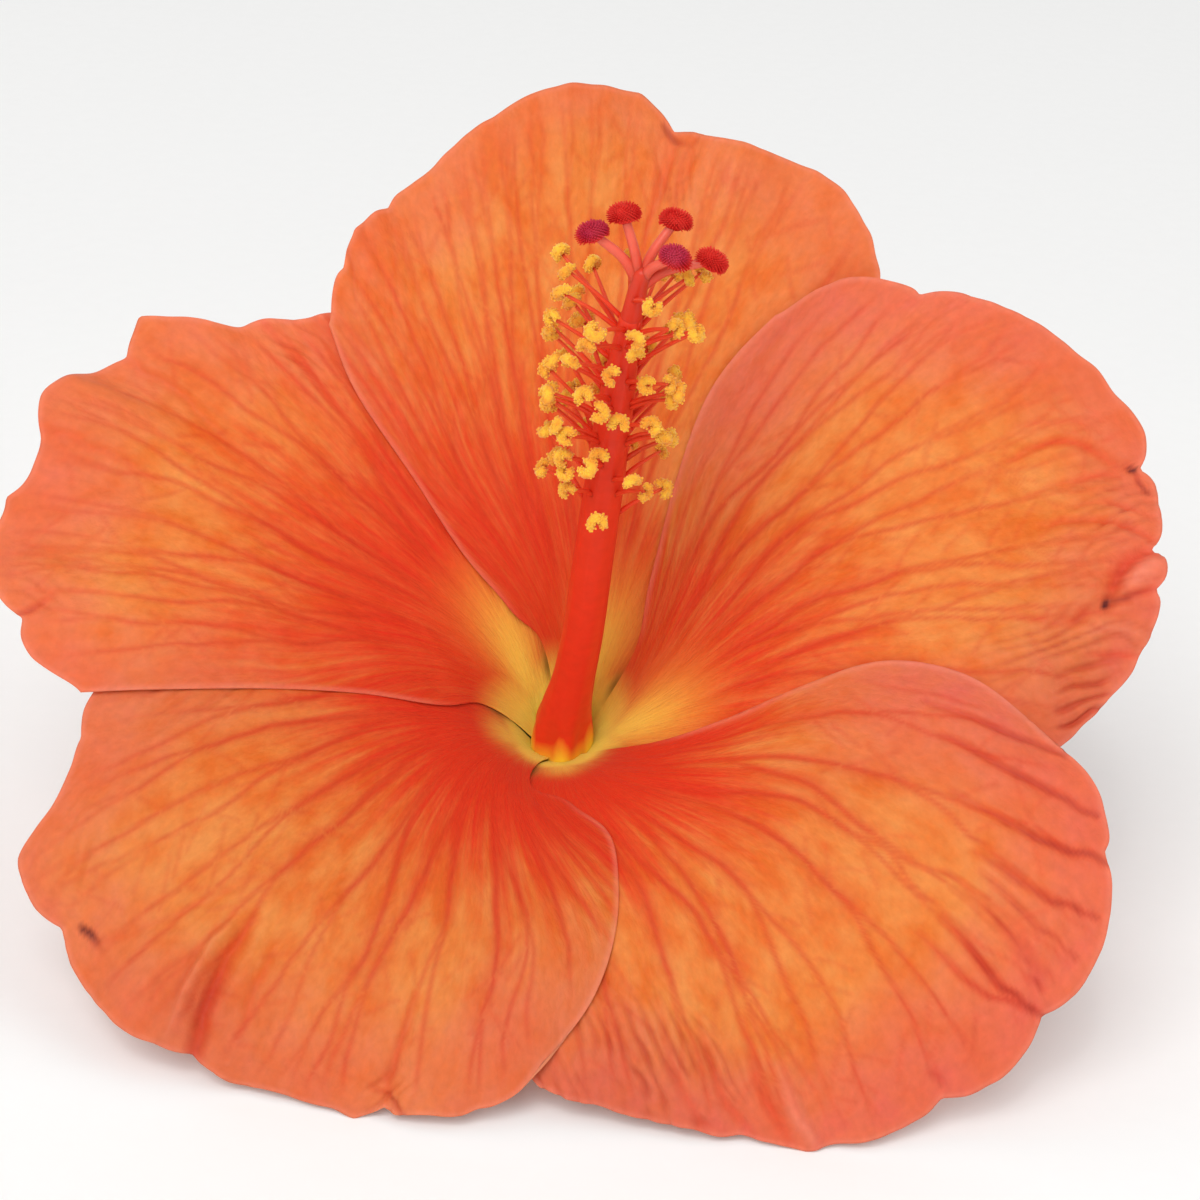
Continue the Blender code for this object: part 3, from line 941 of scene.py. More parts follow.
@dataclass(frozen=True)
class PetalFinish:
    """Living petal skin: thin, moist cells that scatter light, so the petal glows and never shines.

    A yellow claw runs into a red flame, then orange, then a salmon-pink rim; fine red veins fork
    through it. Lengths are millimetres on the petal's own map.
    """

    orange: str = "#d8681f"
    light_orange: str = "#df8840"
    red: str = "#d82e13"
    pink: str = "#d8614b"
    gold: str = "#ffd152"
    claw: str = "#ffe45c"
    # Painted highlight along the free edges and on pressed-up ridges.
    painted_highlight: str = "#ee9078"
    vein: str = "#c93313"
    # Dark bruised spots, and painted shade along faint creases.
    bruise_and_crease_shade: str = "#3c1019"
    # Painted shadow beside the slits between neighbouring claws, where the dark inside of the calyx
    # shows.
    slit_shadow: str = "#7d5f1e"
    back: str = "#e88a62"
    roughness: float = 0.55
    # Streaks 1.1 mm wide, clouds 9 mm wide and mottling 2.4 mm wide.
    streak_per_mm: float = 0.9
    cloud_per_mm: float = 0.11
    mottle_per_mm: float = 0.42
    mottle_depth: float = 0.4
    # Skin cells are about 0.05 mm wide; drawn 0.6 mm wide so that they show.
    cell_per_mm: float = 1.7
    cell_depth: float = 0.18

    def material(self) -> bpy.types.Material:
        """Build the petal's material.

        Returns:
            The material, which reads the marks that the corolla keeps on each petal.
        """
        shade = Shading("petal_skin")
        place = shade.add("ShaderNodeUVMap", uv_map="petal_map").outputs[0]
        mottle = shade.noise(place, self.mottle_per_mm, 4.0, (1.0, 0.6, 1.0))
        cells = shade.noise(place, self.cell_per_mm, 3.0, (1.0, 0.55, 1.0))
        colour = self.ground(shade, place, mottle)
        colour = self.veined(shade, colour, mottle)
        colour = self.worn(shade, colour, cells)
        relief = shade.bump(mottle, self.mottle_depth * MM, 0.35)
        relief = shade.bump(cells, self.cell_depth * MM, 0.7, relief)
        return shade.finish(
            Base_Color=colour,
            Roughness=self.roughness,
            IOR=1.4,
            Subsurface_Weight=0.22,
            Subsurface_Radius=(1.0, 0.3, 0.12),
            Subsurface_Scale=1.0 * MM,
            Specular_IOR_Level=0.22,
            Sheen_Weight=0.04,
            Sheen_Roughness=0.5,
            Normal=relief,
        )

    def ground(
        self, shade: Shading, place: bpy.types.NodeSocket, mottle: bpy.types.NodeSocket
    ) -> bpy.types.NodeSocket:
        """Lay the broad colours: orange, pink margin, red flame and yellow claw.

        Args:
            shade: The material.
            place: The petal's map.
            mottle: Soft clouds on it.

        Returns:
            The colour's socket.
        """
        streak = shade.noise(place, self.streak_per_mm, 3.0, (1.0, 0.09, 1.0))
        broad = shade.noise(place, self.cloud_per_mm, 2.0, (1.0, 0.6, 1.0))
        streaked = shade.remap(streak, 0.3, 0.7, -0.3, 0.3)
        mottled = shade.remap(mottle, 0.3, 0.7, -0.5, 0.5)
        lightness = shade.join(shade.remap(broad, 0.3, 0.72), mottled, "ADD", True)
        colour = shade.blend(lightness, srgb(self.orange), srgb(self.light_orange))
        margin = shade.read("margin")
        rim = shade.join(margin, shade.join(mottled, 0.35), "ADD", True)
        rim = shade.join(rim, shade.remap(margin, 0.0, 0.3), "MULTIPLY", True)
        colour = shade.blend(rim, colour, srgb(self.pink))
        colour = self.through(shade, colour, "red_zone", streaked, self.red)
        colour = self.through(shade, colour, "gold", shade.join(streaked, 0.4), self.gold)
        # Painted highlight along the free edges and on ridges.
        colour = shade.blend(shade.join(shade.read("painted_highlight"), 0.6), colour, srgb(self.painted_highlight))
        return shade.blend(shade.read("claw"), colour, srgb(self.claw))

    def veined(
        self, shade: Shading, colour: bpy.types.NodeSocket, mottle: bpy.types.NodeSocket
    ) -> bpy.types.NodeSocket:
        """Draw the veins, faintly on the paler back.

        Args:
            shade: The material.
            colour: What lies below.
            mottle: Clouds in which the veins fade.

        Returns:
            The colour's socket.
        """
        vein, back = shade.read("vein"), shade.read("back")
        # Broad furrows along the main veins drawn redder: partly the veins' own red, partly painted
        # shade in the grooves.
        colour = shade.blend(shade.join(shade.read("furrow"), 0.3), colour, srgb(self.vein))
        strength = shade.join(vein, shade.remap(mottle, 0.25, 0.7, 0.55, 0.9))
        colour = shade.blend(strength, colour, srgb(self.vein))
        colour = shade.blend(shade.join(back, 0.55), colour, srgb(self.back))
        return shade.blend(shade.join(back, shade.join(vein, 0.35)), colour, srgb(self.vein))

    def worn(
        self, shade: Shading, colour: bpy.types.NodeSocket, cells: bpy.types.NodeSocket
    ) -> bpy.types.NodeSocket:
        """Redden creases, paint shade and light on wrinkles, shadow by slits; darken bruises.

        Args:
            shade: The material.
            colour: What lies below.
            cells: The fine pattern of the skin.

        Returns:
            The colour's socket.
        """
        wrinkle_shading = shade.read("wrinkle_shading")
        # Redder along the creases.
        colour = shade.blend(shade.join(shade.read("crease_red"), 0.7), colour, srgb(self.red))
        # Painted shade in the wrinkles' valleys, redder and darker, and painted light on their
        # ridges; the tone read below also carries the painted shade of darkened patches.
        colour = shade.blend(shade.remap(wrinkle_shading, 0.45, 0.0, 0.0, 0.4), colour, srgb(self.red))
        tone = shade.remap(cells, 0.25, 0.75, 0.93, 1.07)
        tone = shade.join(tone, shade.remap(wrinkle_shading, 0.0, 1.0, 0.85, 1.15))
        colour = shade.toned(colour, shade.join(tone, shade.read("tone")))
        # Painted shadow beside the slits between the claws.
        colour = shade.blend(shade.join(shade.read("slit_shadow"), 0.75), colour, srgb(self.slit_shadow))
        # Dark bruises, and painted shade along faint creases.
        return shade.blend(shade.read("bruise_and_crease_shade"), colour, srgb(self.bruise_and_crease_shade))

    @staticmethod
    def through(
        shade: Shading,
        colour: bpy.types.NodeSocket,
        mark: str,
        streaked: bpy.types.NodeSocket,
        tint: str,
    ) -> bpy.types.NodeSocket:
        """Lay a tint over a colour where the mesh is marked, with a streaky edge.

        Args:
            shade: The material.
            colour: What lies below.
            mark: Name of the number on the mesh.
            streaked: Streaks that break up the edge.
            tint: Hex code of the tint.

        Returns:
            The joined colour's socket.
        """
        value = shade.read(mark)
        edge = shade.join(shade.join(value, shade.join(1.0, value, "SUBTRACT")), 3.6)
        share = shade.join(value, shade.join(streaked, edge), "ADD", True)
        return shade.blend(share, colour, srgb(tint))


@dataclass
class Corolla:
    """Five petals that overlap like a pinwheel, each a thin closed wall on the shared funnel."""

    workshop: Workshop
    funnel: Funnel = field(default_factory=Funnel)
    fan: Fan = field(default_factory=Fan)
    columns: int = 260
    rows: int = 184
    petal_step: float = 72.0
    layer_pivot: float = -7.0
    layer_at_base: float = 0.5
    layer_growth: float = 0.02
    wall: float = 0.42
    wall_at_rim: float = 0.14
    full_reach: float = 62.0
    ruffle: float = 0.75
    ruffle_start: float = 0.55
    ruffle_waves: tuple[tuple[float, float, float], ...] = ((6.5, 26.0, 1.0), (2.9, 14.0, 0.6))
    flank_start: float = 22.0
    flank_end: float = 32.0
    scallop: float = 0.38
    scallop_waves: tuple[tuple[float, float], ...] = ((17.0, 1.0), (48.0, 0.4))
    corner_rounding: float = 2.0
    corner_share: float = 0.08
    girth: float = 4.0
    girth_growth: float = 0.75
    pressed_at_base: float = 0.17
    pressed_growth: float = 0.018
    pressed_run: float = 5.0
    row_crowding: float = 0.8
    puff: float = 0.14
    puff_small: float = 0.07
    furrow_depth: float = 0.16
    furrow_widening: float = 3.6
    vein_depth: float = 0.05
    rib_height: float = 0.1
    wrinkle_gap: float = 1.2
    crease_spots: int = 50
    crease_waver: float = 0.3
    # Where the painted shadow beside the slits between the claws lies up the petal, and its length,
    # in mm.
    slit_reach: float = 4.4
    slit_length: float = 1.8
    gold_middle: float = -33.0
    gold_width: float = 17.0
    gold_growth: float = 0.25
    map_width: float = 80.0

    def build(self) -> None:
        """Make every petal and dress it."""
        finish = PetalFinish().material()
        template = self.template()
        for petal in PETALS:
            mesh = self.petal_mesh(petal, template.copy())
            self.workshop.piece(f"{petal.node}_skin", mesh, finish, Slot.PETAL, (petal.node,))
        bpy.data.meshes.remove(template)

    def template(self) -> bpy.types.Mesh:
        """Make a flat closed wall: a grid, its copy one unit below, and a bridged edge.

        Returns:
            The mesh from which every petal is shaped.
        """
        bm = bmesh.new()
        bmesh.ops.create_grid(bm, x_segments=self.columns, y_segments=self.rows, size=0.5)
        copied = bmesh.ops.duplicate(bm, geom=bm.verts[:] + bm.edges[:] + bm.faces[:])["geom"]
        under = [g for g in copied if isinstance(g, bmesh.types.BMVert)]
        faces = [g for g in copied if isinstance(g, bmesh.types.BMFace)]
        bmesh.ops.translate(bm, vec=(0, 0, -1), verts=under)
        bmesh.ops.reverse_faces(bm, faces=faces)
        bmesh.ops.bridge_loops(bm, edges=[e for e in bm.edges if e.is_boundary])
        return self.workshop.mesh_of(bm, "petal_template")

    def lift(
        self, petal: Petal, offset: np.ndarray, along: np.ndarray, edge: np.ndarray | float
    ) -> np.ndarray:
        """How far a petal stands off the funnel.

        Args:
            petal: The petal.
            offset: Degrees from its middle.
            along: Millimetres up the petal.
            edge: Share of the way from the claw to the rim.

        Returns:
            Millimetres towards the axis: place in the pinwheel, pleats and the rim's ruffle.
        """
        step = self.layer_at_base + self.layer_growth * along
        layer = step * (offset - self.layer_pivot) / self.petal_step
        for fold in petal.folds:
            grown = np.clip((along - fold.start) / (self.full_reach - fold.start), 0, 1) ** 1.5
            beside = ((offset - fold.middle) / fold.width) ** 2
            layer = layer + fold.lift * grown * np.exp(-beside)
        wave = np.zeros_like(along)
        for index, (wide, long, share) in enumerate(self.ruffle_waves):
            wave = wave + share * soft_noise(offset / wide, along / long, petal.seed + 9 * index)
        flank = smooth(np.abs(offset), self.flank_start, self.flank_end)
        wave = wave * (1 - flank) + np.abs(wave) * np.sign(offset) * flank
        edge_line = np.array(petal.raised)
        aside = np.interp(along, edge_line[:, 1], edge_line[:, 0]) - offset
        gap = np.radians(aside) * (self.girth + self.girth_growth * along)
        pressed = smooth(gap, self.pressed_run, 0.0)
        pressed = pressed * (self.pressed_at_base + self.pressed_growth * along)
        grown = np.clip((edge - self.ruffle_start) / (1 - self.ruffle_start), 0, 1) ** 1.6
        return layer - pressed + self.ruffle * wave * grown

    def flat(self, petal: Petal, across: np.ndarray, along: np.ndarray) -> np.ndarray:
        """Degrees and millimetres of points given by shares across and along the petal.

        Args:
            petal: The petal.
            across: 0 at the tucked edge, 1 at the raised one.
            along: 0 at the claw, 1 at the rim.

        Returns:
            One row of degrees from the middle and millimetres up the petal for each point.
        """
        tucked = smooth_line((CLAW[0],) + petal.tucked[1:], along)
        raised = smooth_line((CLAW[1],) + petal.raised[1:], along)
        rim = smooth_line(petal.rim[::-1], across)
        for notch in petal.notches:
            beside = np.abs((rim[:, 0] - notch.middle) / notch.width) ** 1.4
            rim[:, 1] -= notch.depth * np.exp(-beside)
        inside = smooth(across, 0.0, 0.05) * smooth(across, 1.0, 0.95)
        corner = smooth(across, 1 - self.corner_share, 1.0) ** 2
        corner = corner + smooth(across, self.corner_share, 0.0) ** 2
        rim[:, 1] -= self.corner_rounding * corner
        for index, (waves, share) in enumerate(self.scallop_waves):
            ragged = soft_noise(across * waves, across * 0, petal.seed + 3 + 2 * index)
            rim[:, 1] += self.scallop * share * inside * ragged
        u, v = across[:, None], along[:, None]
        start, end = np.array(CLAW[0]), np.array(CLAW[1])
        base = (1 - u) * start + u * end
        far_left, far_right = np.array(petal.tucked[-1], float), np.array(petal.raised[-1], float)
        near = (1 - v) * ((1 - u) * start + u * end)
        far = v * ((1 - u) * far_left + u * far_right)
        return (1 - v) * base + v * rim + (1 - u) * tucked + u * raised - near - far

    def vein_marks(self, petal: Petal, points: np.ndarray) -> tuple[np.ndarray, np.ndarray]:
        """How strongly veins and the furrows of the main veins show at points.

        Args:
            petal: The petal.
            points: Points of its surface.

        Returns:
            The veins' strength and the furrows' strength, from 0 to 1.
        """
        runs = Veins(petal.seed).runs
        marks = []
        for deepest, widen in ((4, 1.0), (1, self.furrow_widening)):
            chosen = [run for run in runs if run[3] <= deepest]
            places = np.concatenate([run[0] for run in chosen])
            strength = np.concatenate([np.full(len(run[0]), run[2]) for run in chosen])
            width = np.concatenate([np.full(len(run[0]), run[1] * widen) for run in chosen])
            offset, reach = self.fan.offset(places[:, 0], places[:, 1]), places[:, 1]
            lift = self.lift(petal, offset, reach, np.clip(reach / self.full_reach, 0, 1))
            spots = self.funnel.points(petal.middle + offset, reach, lift)
            near, away = nearest(spots, points)
            marks.append(strength[near] * np.exp(-((away / width[near]) ** 2)))
        return marks[0], marks[1]

    def petal_mesh(self, petal: Petal, mesh: bpy.types.Mesh) -> bpy.types.Mesh:
        """Shape one petal from a copy of the template.

        Args:
            petal: The petal.
            mesh: The copy.

        Returns:
            The same mesh, shaped, with its map and marks.
        """
        nx, ny = self.columns, self.rows
        shares = np.linspace(0, 1, ny + 1) ** self.row_crowding
        across, along = (a.ravel() for a in np.meshgrid(np.linspace(0, 1, nx + 1), shares))
        flat = self.flat(petal, across, along)
        offset, reach = flat[:, 0], flat[:, 1]
        lift = self.lift(petal, offset, reach, along)
        middle = self.funnel.points(petal.middle + offset, reach, lift)
        vein, furrow = self.vein_marks(petal, middle)
        pressed, crease_red, bruise_and_crease_shade, pale = self.creased(petal, middle)
        edge = self.edge_distance(middle, across, along)
        grid = middle.reshape(ny + 1, nx + 1, 3)
        normal = np.cross(np.gradient(grid, axis=0), np.gradient(grid, axis=1)).reshape(-1, 3)
        normal /= np.maximum(np.linalg.norm(normal, axis=1, keepdims=True), 1e-9)
        calm = smooth(edge, 0.0, 2.0) * smooth(reach, 4.0, 14.0)
        crumple, wrinkle_shading, tone = self.crumpled(petal, offset, reach)
        sunk = self.furrow_depth * furrow + self.vein_depth * vein
        relief = calm * (self.puffs(petal, offset, reach) - sunk) + crumple - pressed
        thick = self.wall_at_rim + (self.wall - self.wall_at_rim) * smooth(edge, 0.0, 6.0)
        ribs = self.rib_height * vein * smooth(edge, 0.0, 4.0)
        face = middle + normal * (relief + thick / 2)[:, None]
        back = middle + normal * (relief - thick / 2 - ribs)[:, None]
        slit = np.exp(-(((reach - self.slit_reach) / self.slit_length) ** 2))
        marks = {
            "vein": vein * smooth(reach, 9.0, 28.0) * smooth(edge, 0.3, 5.0),
            # Painted shade in the wrinkles' valleys and over darkened patches, painted light on
            # their ridges.
            "wrinkle_shading": wrinkle_shading,
            # Each petal's tone, lowered by the painted shade of darkened patches.
            "tone": tone,
            # Painted shadow beside the slits between the claws.
            "slit_shadow": slit * smooth(offset, -50.0, -58.0),
            # Painted highlight along the free edges, and on ridges where a crease is pale.
            "painted_highlight": np.maximum(0.5 * smooth(edge, 0.75, 0.1) * smooth(reach, 8.0, 16.0), pale),
            # Partly the veins' own red, partly painted shade in the grooves.
            "furrow": furrow * smooth(reach, 12.0, 24.0) * smooth(edge, 2.0, 12.0),
            "margin": self.margin(petal, offset, edge, reach),
            "red_zone": self.flame(petal, offset, reach, vein),
            "gold": self.gold(petal, offset, reach),
            "claw": smooth(reach, 2.6, 0.2),
            # Redder along the creases.
            "crease_red": crease_red,
            # Dark bruises, and painted shade along faint creases.
            "bruise_and_crease_shade": bruise_and_crease_shade,
        }
        return self.write(mesh, face, back, self.fan.line(offset, reach), reach, marks)

    @staticmethod
    def edge_distance(points: np.ndarray, across: np.ndarray, along: np.ndarray) -> np.ndarray:
        """Millimetres from each point to the petal's free edge, the claw's end left out."""
        return nearest(points[(across == 0) | (across == 1) | (along == 1)], points)[1]

    @staticmethod
    def sideways(offset: np.ndarray, reach: np.ndarray) -> np.ndarray:
        """Millimetres across the petal that an offset in degrees amounts to."""
        return np.radians(offset) * (8.0 + 0.7 * reach)

    def puffs(self, petal: Petal, offset: np.ndarray, reach: np.ndarray) -> np.ndarray:
        """Swell the tissue between veins.

        Args:
            petal: The petal.
            offset: Degrees from its middle.
            reach: Millimetres up the petal.

        Returns:
            Height of the soft bulges, in millimetres.
        """
        across = self.sideways(offset, reach)
        large = self.puff * soft_noise(across / 3.2, reach / 6.5, petal.seed + 20)
        small = self.puff_small * soft_noise(across / 1.3, reach / 2.6, petal.seed + 21)
        return large + small

    def crumpled(
        self, petal: Petal, offset: np.ndarray, reach: np.ndarray
    ) -> tuple[np.ndarray, np.ndarray, np.ndarray]:
        """Fine wrinkles of the crumpled patches.

        Args:
            petal: The petal.
            offset: Degrees from its middle.
            reach: Millimetres up the petal.

        Returns:
            Height in millimetres; a value from 0 in a valley to 1 on a ridge and 0.5 off the
            patches, which the material turns into painted shade in the valleys and painted light on
            the ridges, and which is lowered where a patch is darkened with painted shade; and the
            skin's overall tone, lowered by the same painted shade.
        """
        across = self.sideways(offset, reach)
        bend = soft_noise(across / 4.0, reach / 7.0, petal.seed + 30)
        bend += 0.3 * soft_noise(across / 1.5, reach / 2.5, petal.seed + 33)
        furrows = (0.5 + 0.5 * np.cos(math.tau * (across / self.wrinkle_gap + 1.1 * bend))) ** 3
        broken = smooth(soft_noise(across / 2.0, reach / 4.5, petal.seed + 31), -0.6, 0.4)
        knots = soft_noise(across / 0.9, reach / 1.6, petal.seed + 32)
        shape = 0.4 - 1.4 * furrows * broken + 0.4 * knots
        height, window, painted_shade = (np.zeros_like(reach) for _ in range(3))
        for patch in petal.crumples:
            away = ((offset - patch.offset) / patch.spread) ** 2
            away += ((reach - patch.reach) / patch.length) ** 2
            height += 1.3 * patch.depth * np.exp(-away) * shape
            window = np.maximum(window, np.exp(-away) * min(patch.depth * 2.6, 0.8))
            painted_shade = np.maximum(painted_shade, patch.painted_shade * np.exp(-away))
        # Valleys and darkened patches read low and become painted shade; ridges read high and
        # become painted light.
        wrinkle_shading = 0.5 + 0.5 * np.clip(window * shape - 0.35 * painted_shade, -1, 1)
        return height, wrinkle_shading, petal.tone - 0.16 * painted_shade

    def creased(self, petal: Petal, points: np.ndarray) -> tuple[np.ndarray, ...]:
        """How deep the petal's creases are pressed at points, and how they are coloured.

        Args:
            petal: The petal.
            points: Points of its surface.

        Returns:
            Depth in millimetres, then redness, darkness and paleness from 0 to 1: darkness is a
            bruise where strong and painted shade along faint creases, paleness a painted highlight
            on a ridge.
        """
        depth, red, dark, pale = (np.zeros(len(points)) for _ in range(4))
        share = np.linspace(0, 1, self.crease_spots)
        for crease in petal.creases:
            course = smooth_line(crease.course, share)
            waver = soft_noise(course[:, 1] / 1.7, course[:, 1] * 0, petal.seed + 50)
            course[:, 0] += self.crease_waver * waver
            lift = self.lift(petal, course[:, 0], course[:, 1], np.ones_like(share))
            spots = self.funnel.points(petal.middle + course[:, 0], course[:, 1], lift)
            gaps = np.linalg.norm(points[:, None, :] - spots[None, :, :], axis=2)
            near = gaps.argmin(axis=1)
            close = np.exp(-((gaps[np.arange(len(points)), near] / crease.width) ** 2))
            body = np.sin(np.pi * (0.12 + 0.76 * share[near])) ** 0.7
            depth += crease.depth * close * body
            # Redness along the crease.
            red = np.maximum(red, crease.red * close * body)
            fade = 1 - 0.85 * smooth(share[near], 0.35, 1.0)
            # Darkness: a bruise where strong, painted shade where faint.
            dark = np.maximum(dark, crease.dark * fade * np.clip(close * 1.4 - 0.25, 0, 1))
            # Paleness is a painted highlight on a ridge.
            pale = np.maximum(pale, crease.pale * close * body)
        return depth, red, dark, pale

    def flame(
        self, petal: Petal, offset: np.ndarray, reach: np.ndarray, vein: np.ndarray
    ) -> np.ndarray:
        """Spread the red flame round the throat.

        Args:
            petal: The petal.
            offset: Degrees from its middle.
            reach: Millimetres up the petal.
            vein: Strength of the veins, along which the red runs further.

        Returns:
            Its strength, from 0 to 1.
        """
        line = self.fan.line(offset, reach)
        ragged = 4.0 * soft_noise(line * 17, reach / 30, petal.seed + 40)
        ragged += 3.0 * soft_noise(line * 55, reach / 24, petal.seed + 41)
        far = petal.flame_reach + petal.flame_lean * offset / 45.0 + ragged + 3.0 * vein
        faded = 1 - smooth(reach / far, 0.42, 1.15)
        return petal.flame_strength * smooth(reach, 2.0, 6.0) * faded

    def gold(self, petal: Petal, offset: np.ndarray, reach: np.ndarray) -> np.ndarray:
        """Spread the yellow of the claw and the tongue that runs up from it.

        Args:
            petal: The petal.
            offset: Degrees from its middle.
            reach: Millimetres up the petal.

        Returns:
            Its strength, from 0 to 1.
        """
        width = self.gold_width + self.gold_growth * reach
        tongue = np.exp(-(((offset - self.gold_middle) / width) ** 2))
        tongue = tongue * smooth(reach, petal.gold_reach, petal.gold_reach * 0.05)
        return np.maximum(tongue, smooth(reach, 1.8 + 0.3 * petal.gold_reach, 1.0))

    @staticmethod
    def margin(petal: Petal, offset: np.ndarray, edge: np.ndarray, reach: np.ndarray) -> np.ndarray:
        """Spread the pink in from the free edge.

        Args:
            petal: The petal.
            offset: Degrees from its middle.
            edge: Millimetres from the free edge.
            reach: Millimetres up the petal.

        Returns:
            Its strength, from 0 to 1.
        """
        ragged = 3.5 * soft_noise(offset / 9.0, reach / 18, petal.seed + 60)
        outer = smooth(reach, 18.0, 38.0)
        return petal.pinkness * outer * (1 - smooth(edge + ragged, -1.0, 17.0))

    def write(
        self,
        mesh: bpy.types.Mesh,
        face: np.ndarray,
        back: np.ndarray,
        line: np.ndarray,
        reach: np.ndarray,
        marks: dict[str, np.ndarray],
    ) -> bpy.types.Mesh:
        """Write a petal's points, map and marks to its mesh.

        Args:
            mesh: A copy of the template.
            face: Points of the upper side, row by row.
            back: Points of the lower side.
            line: Fan line at each point.
            reach: Millimetres up the petal at each point.
            marks: Numbers for the material.

        Returns:
            The mesh.
        """
        count = len(mesh.vertices)
        places = np.empty(count * 3, np.float32)
        mesh.vertices.foreach_get("co", places)
        places = places.reshape(-1, 3)
        column = np.rint((places[:, 0] + 0.5) * self.columns).astype(int)
        row = np.rint((places[:, 1] + 0.5) * self.rows).astype(int)
        under = places[:, 2] < -0.5
        index = row * (self.columns + 1) + column
        moved = np.where(under[:, None], back[index], face[index])
        mesh.vertices.foreach_set("co", moved.astype(np.float32).ravel())
        for name, values in marks.items():
            keep(mesh, name, values[index])
        keep(mesh, "back", np.where(under, Side.BACK.value, Side.FACE.value))
        corners = np.empty(len(mesh.loops), np.int32)
        mesh.loops.foreach_get("vertex_index", corners)
        chart = np.stack([(line - 0.5) * self.map_width, reach], -1)[index][corners]
        chart = chart.astype(np.float32).ravel()
        mesh.uv_layers.new(name="petal_map").data.foreach_set("uv", chart)
        mesh.update()
        return mesh


@dataclass(frozen=True)
class StemFinish:
    """Smooth moist plant skin, as on the staminal column, style and filaments.

    Colour runs from the foot to the tip by the number kept on the mesh; the skin has a soft satin
    sheen and lets a little light in.
    """

    name: str
    foot: str
    body: str
    tip: str
    roughness: float = 0.4
    # Soft mottling about 1 mm wide.
    grain_per_m: float = 900.0

    def material(self) -> bpy.types.Material:
        """Build the material.

        Returns:
            The material.
        """
        shade = Shading(self.name)
        place = shade.add("ShaderNodeTexCoord").outputs["Object"]
        rise = shade.read("rise")
        mottle = shade.noise(place, self.grain_per_m, 3.0)
        lower = shade.remap(rise, 0.0, 0.42)
        colour = shade.blend(lower, srgb(self.foot), srgb(self.body))
        colour = shade.blend(shade.remap(rise, 0.45, 1.0), colour, srgb(self.tip))
        colour = shade.toned(colour, shade.remap(mottle, 0.3, 0.7, 0.95, 1.04))
        return shade.finish(
            Base_Color=colour,
            Roughness=self.roughness,
            IOR=1.4,
            Subsurface_Weight=0.3,
            Subsurface_Radius=(1.0, 0.25, 0.1),
            Subsurface_Scale=1.0 * MM,
            Specular_IOR_Level=0.35,
            Normal=shade.bump(mottle, 0.08 * MM, 0.4),
        )


@dataclass(frozen=True)
class PollenFinish:
    """Dry pollen on burst anthers: matt golden grains in patches of deeper orange painted shade."""

    grain: str = "#fdbf3a"
    # Deeper orange of the patches: painted shade.
    shade_colour: str = "#ee962c"
    # Patches about as wide as an anther, and the 0.1 mm roughness of single grains.
    patch_per_m: float = 700.0
    speck_per_m: float = 9000.0

    def material(self) -> bpy.types.Material:
        """Build the material.

        Returns:
            The material.
        """
        shade = Shading("anther_pollen")
        place = shade.add("ShaderNodeTexCoord").outputs["Object"]
        patch = shade.noise(place, self.patch_per_m, 3.0)
        share = shade.remap(patch, 0.35, 0.65)
        colour = shade.blend(share, srgb(self.shade_colour), srgb(self.grain))
        fine = shade.noise(place, self.speck_per_m, 1.0)
        return shade.finish(
            Base_Color=colour,
            Roughness=0.85,
            IOR=1.45,
            Specular_IOR_Level=0.2,
            Subsurface_Weight=0.2,
            Subsurface_Radius=(1.0, 0.6, 0.2),
            Subsurface_Scale=0.6 * MM,
            Sheen_Weight=0.25,
            Normal=shade.bump(fine, 0.04 * MM, 0.6),
        )


@dataclass(frozen=True)
class VelvetFinish:
    """Velvet of a stigma pad: short moist hairs, deep crimson with a violet bloom on top."""

    deep: str = "#cc1712"
    bloom: str = "#e63a2e"
    violet: str = "#7c2f6e"
    # Patches 2 mm wide, and the nap of hair tips about 0.15 mm apart.
    patch_per_m: float = 500.0
    speck_per_m: float = 6000.0

    def material(self) -> bpy.types.Material:
        """Build the material.

        Returns:
            The material.
        """
        shade = Shading("stigma_velvet")
        place = shade.add("ShaderNodeTexCoord").outputs["Object"]
        patch = shade.noise(place, self.patch_per_m, 2.0)
        colour = shade.blend(shade.remap(patch, 0.35, 0.65), srgb(self.deep), srgb(self.bloom))
        colour = shade.blend(shade.read("violet"), colour, srgb(self.violet))
        fine = shade.noise(place, self.speck_per_m, 2.0)
        return shade.finish(
            Base_Color=colour,
            Roughness=0.75,
            IOR=1.4,
            Specular_IOR_Level=0.25,
            Sheen_Weight=0.12,
            Sheen_Roughness=0.4,
            Sheen_Tint=srgb("#ff5a50"),
            Subsurface_Weight=0.2,
            Subsurface_Radius=(1.0, 0.2, 0.2),
            Subsurface_Scale=0.8 * MM,
            Normal=shade.bump(fine, 0.05 * MM, 0.6),
        )


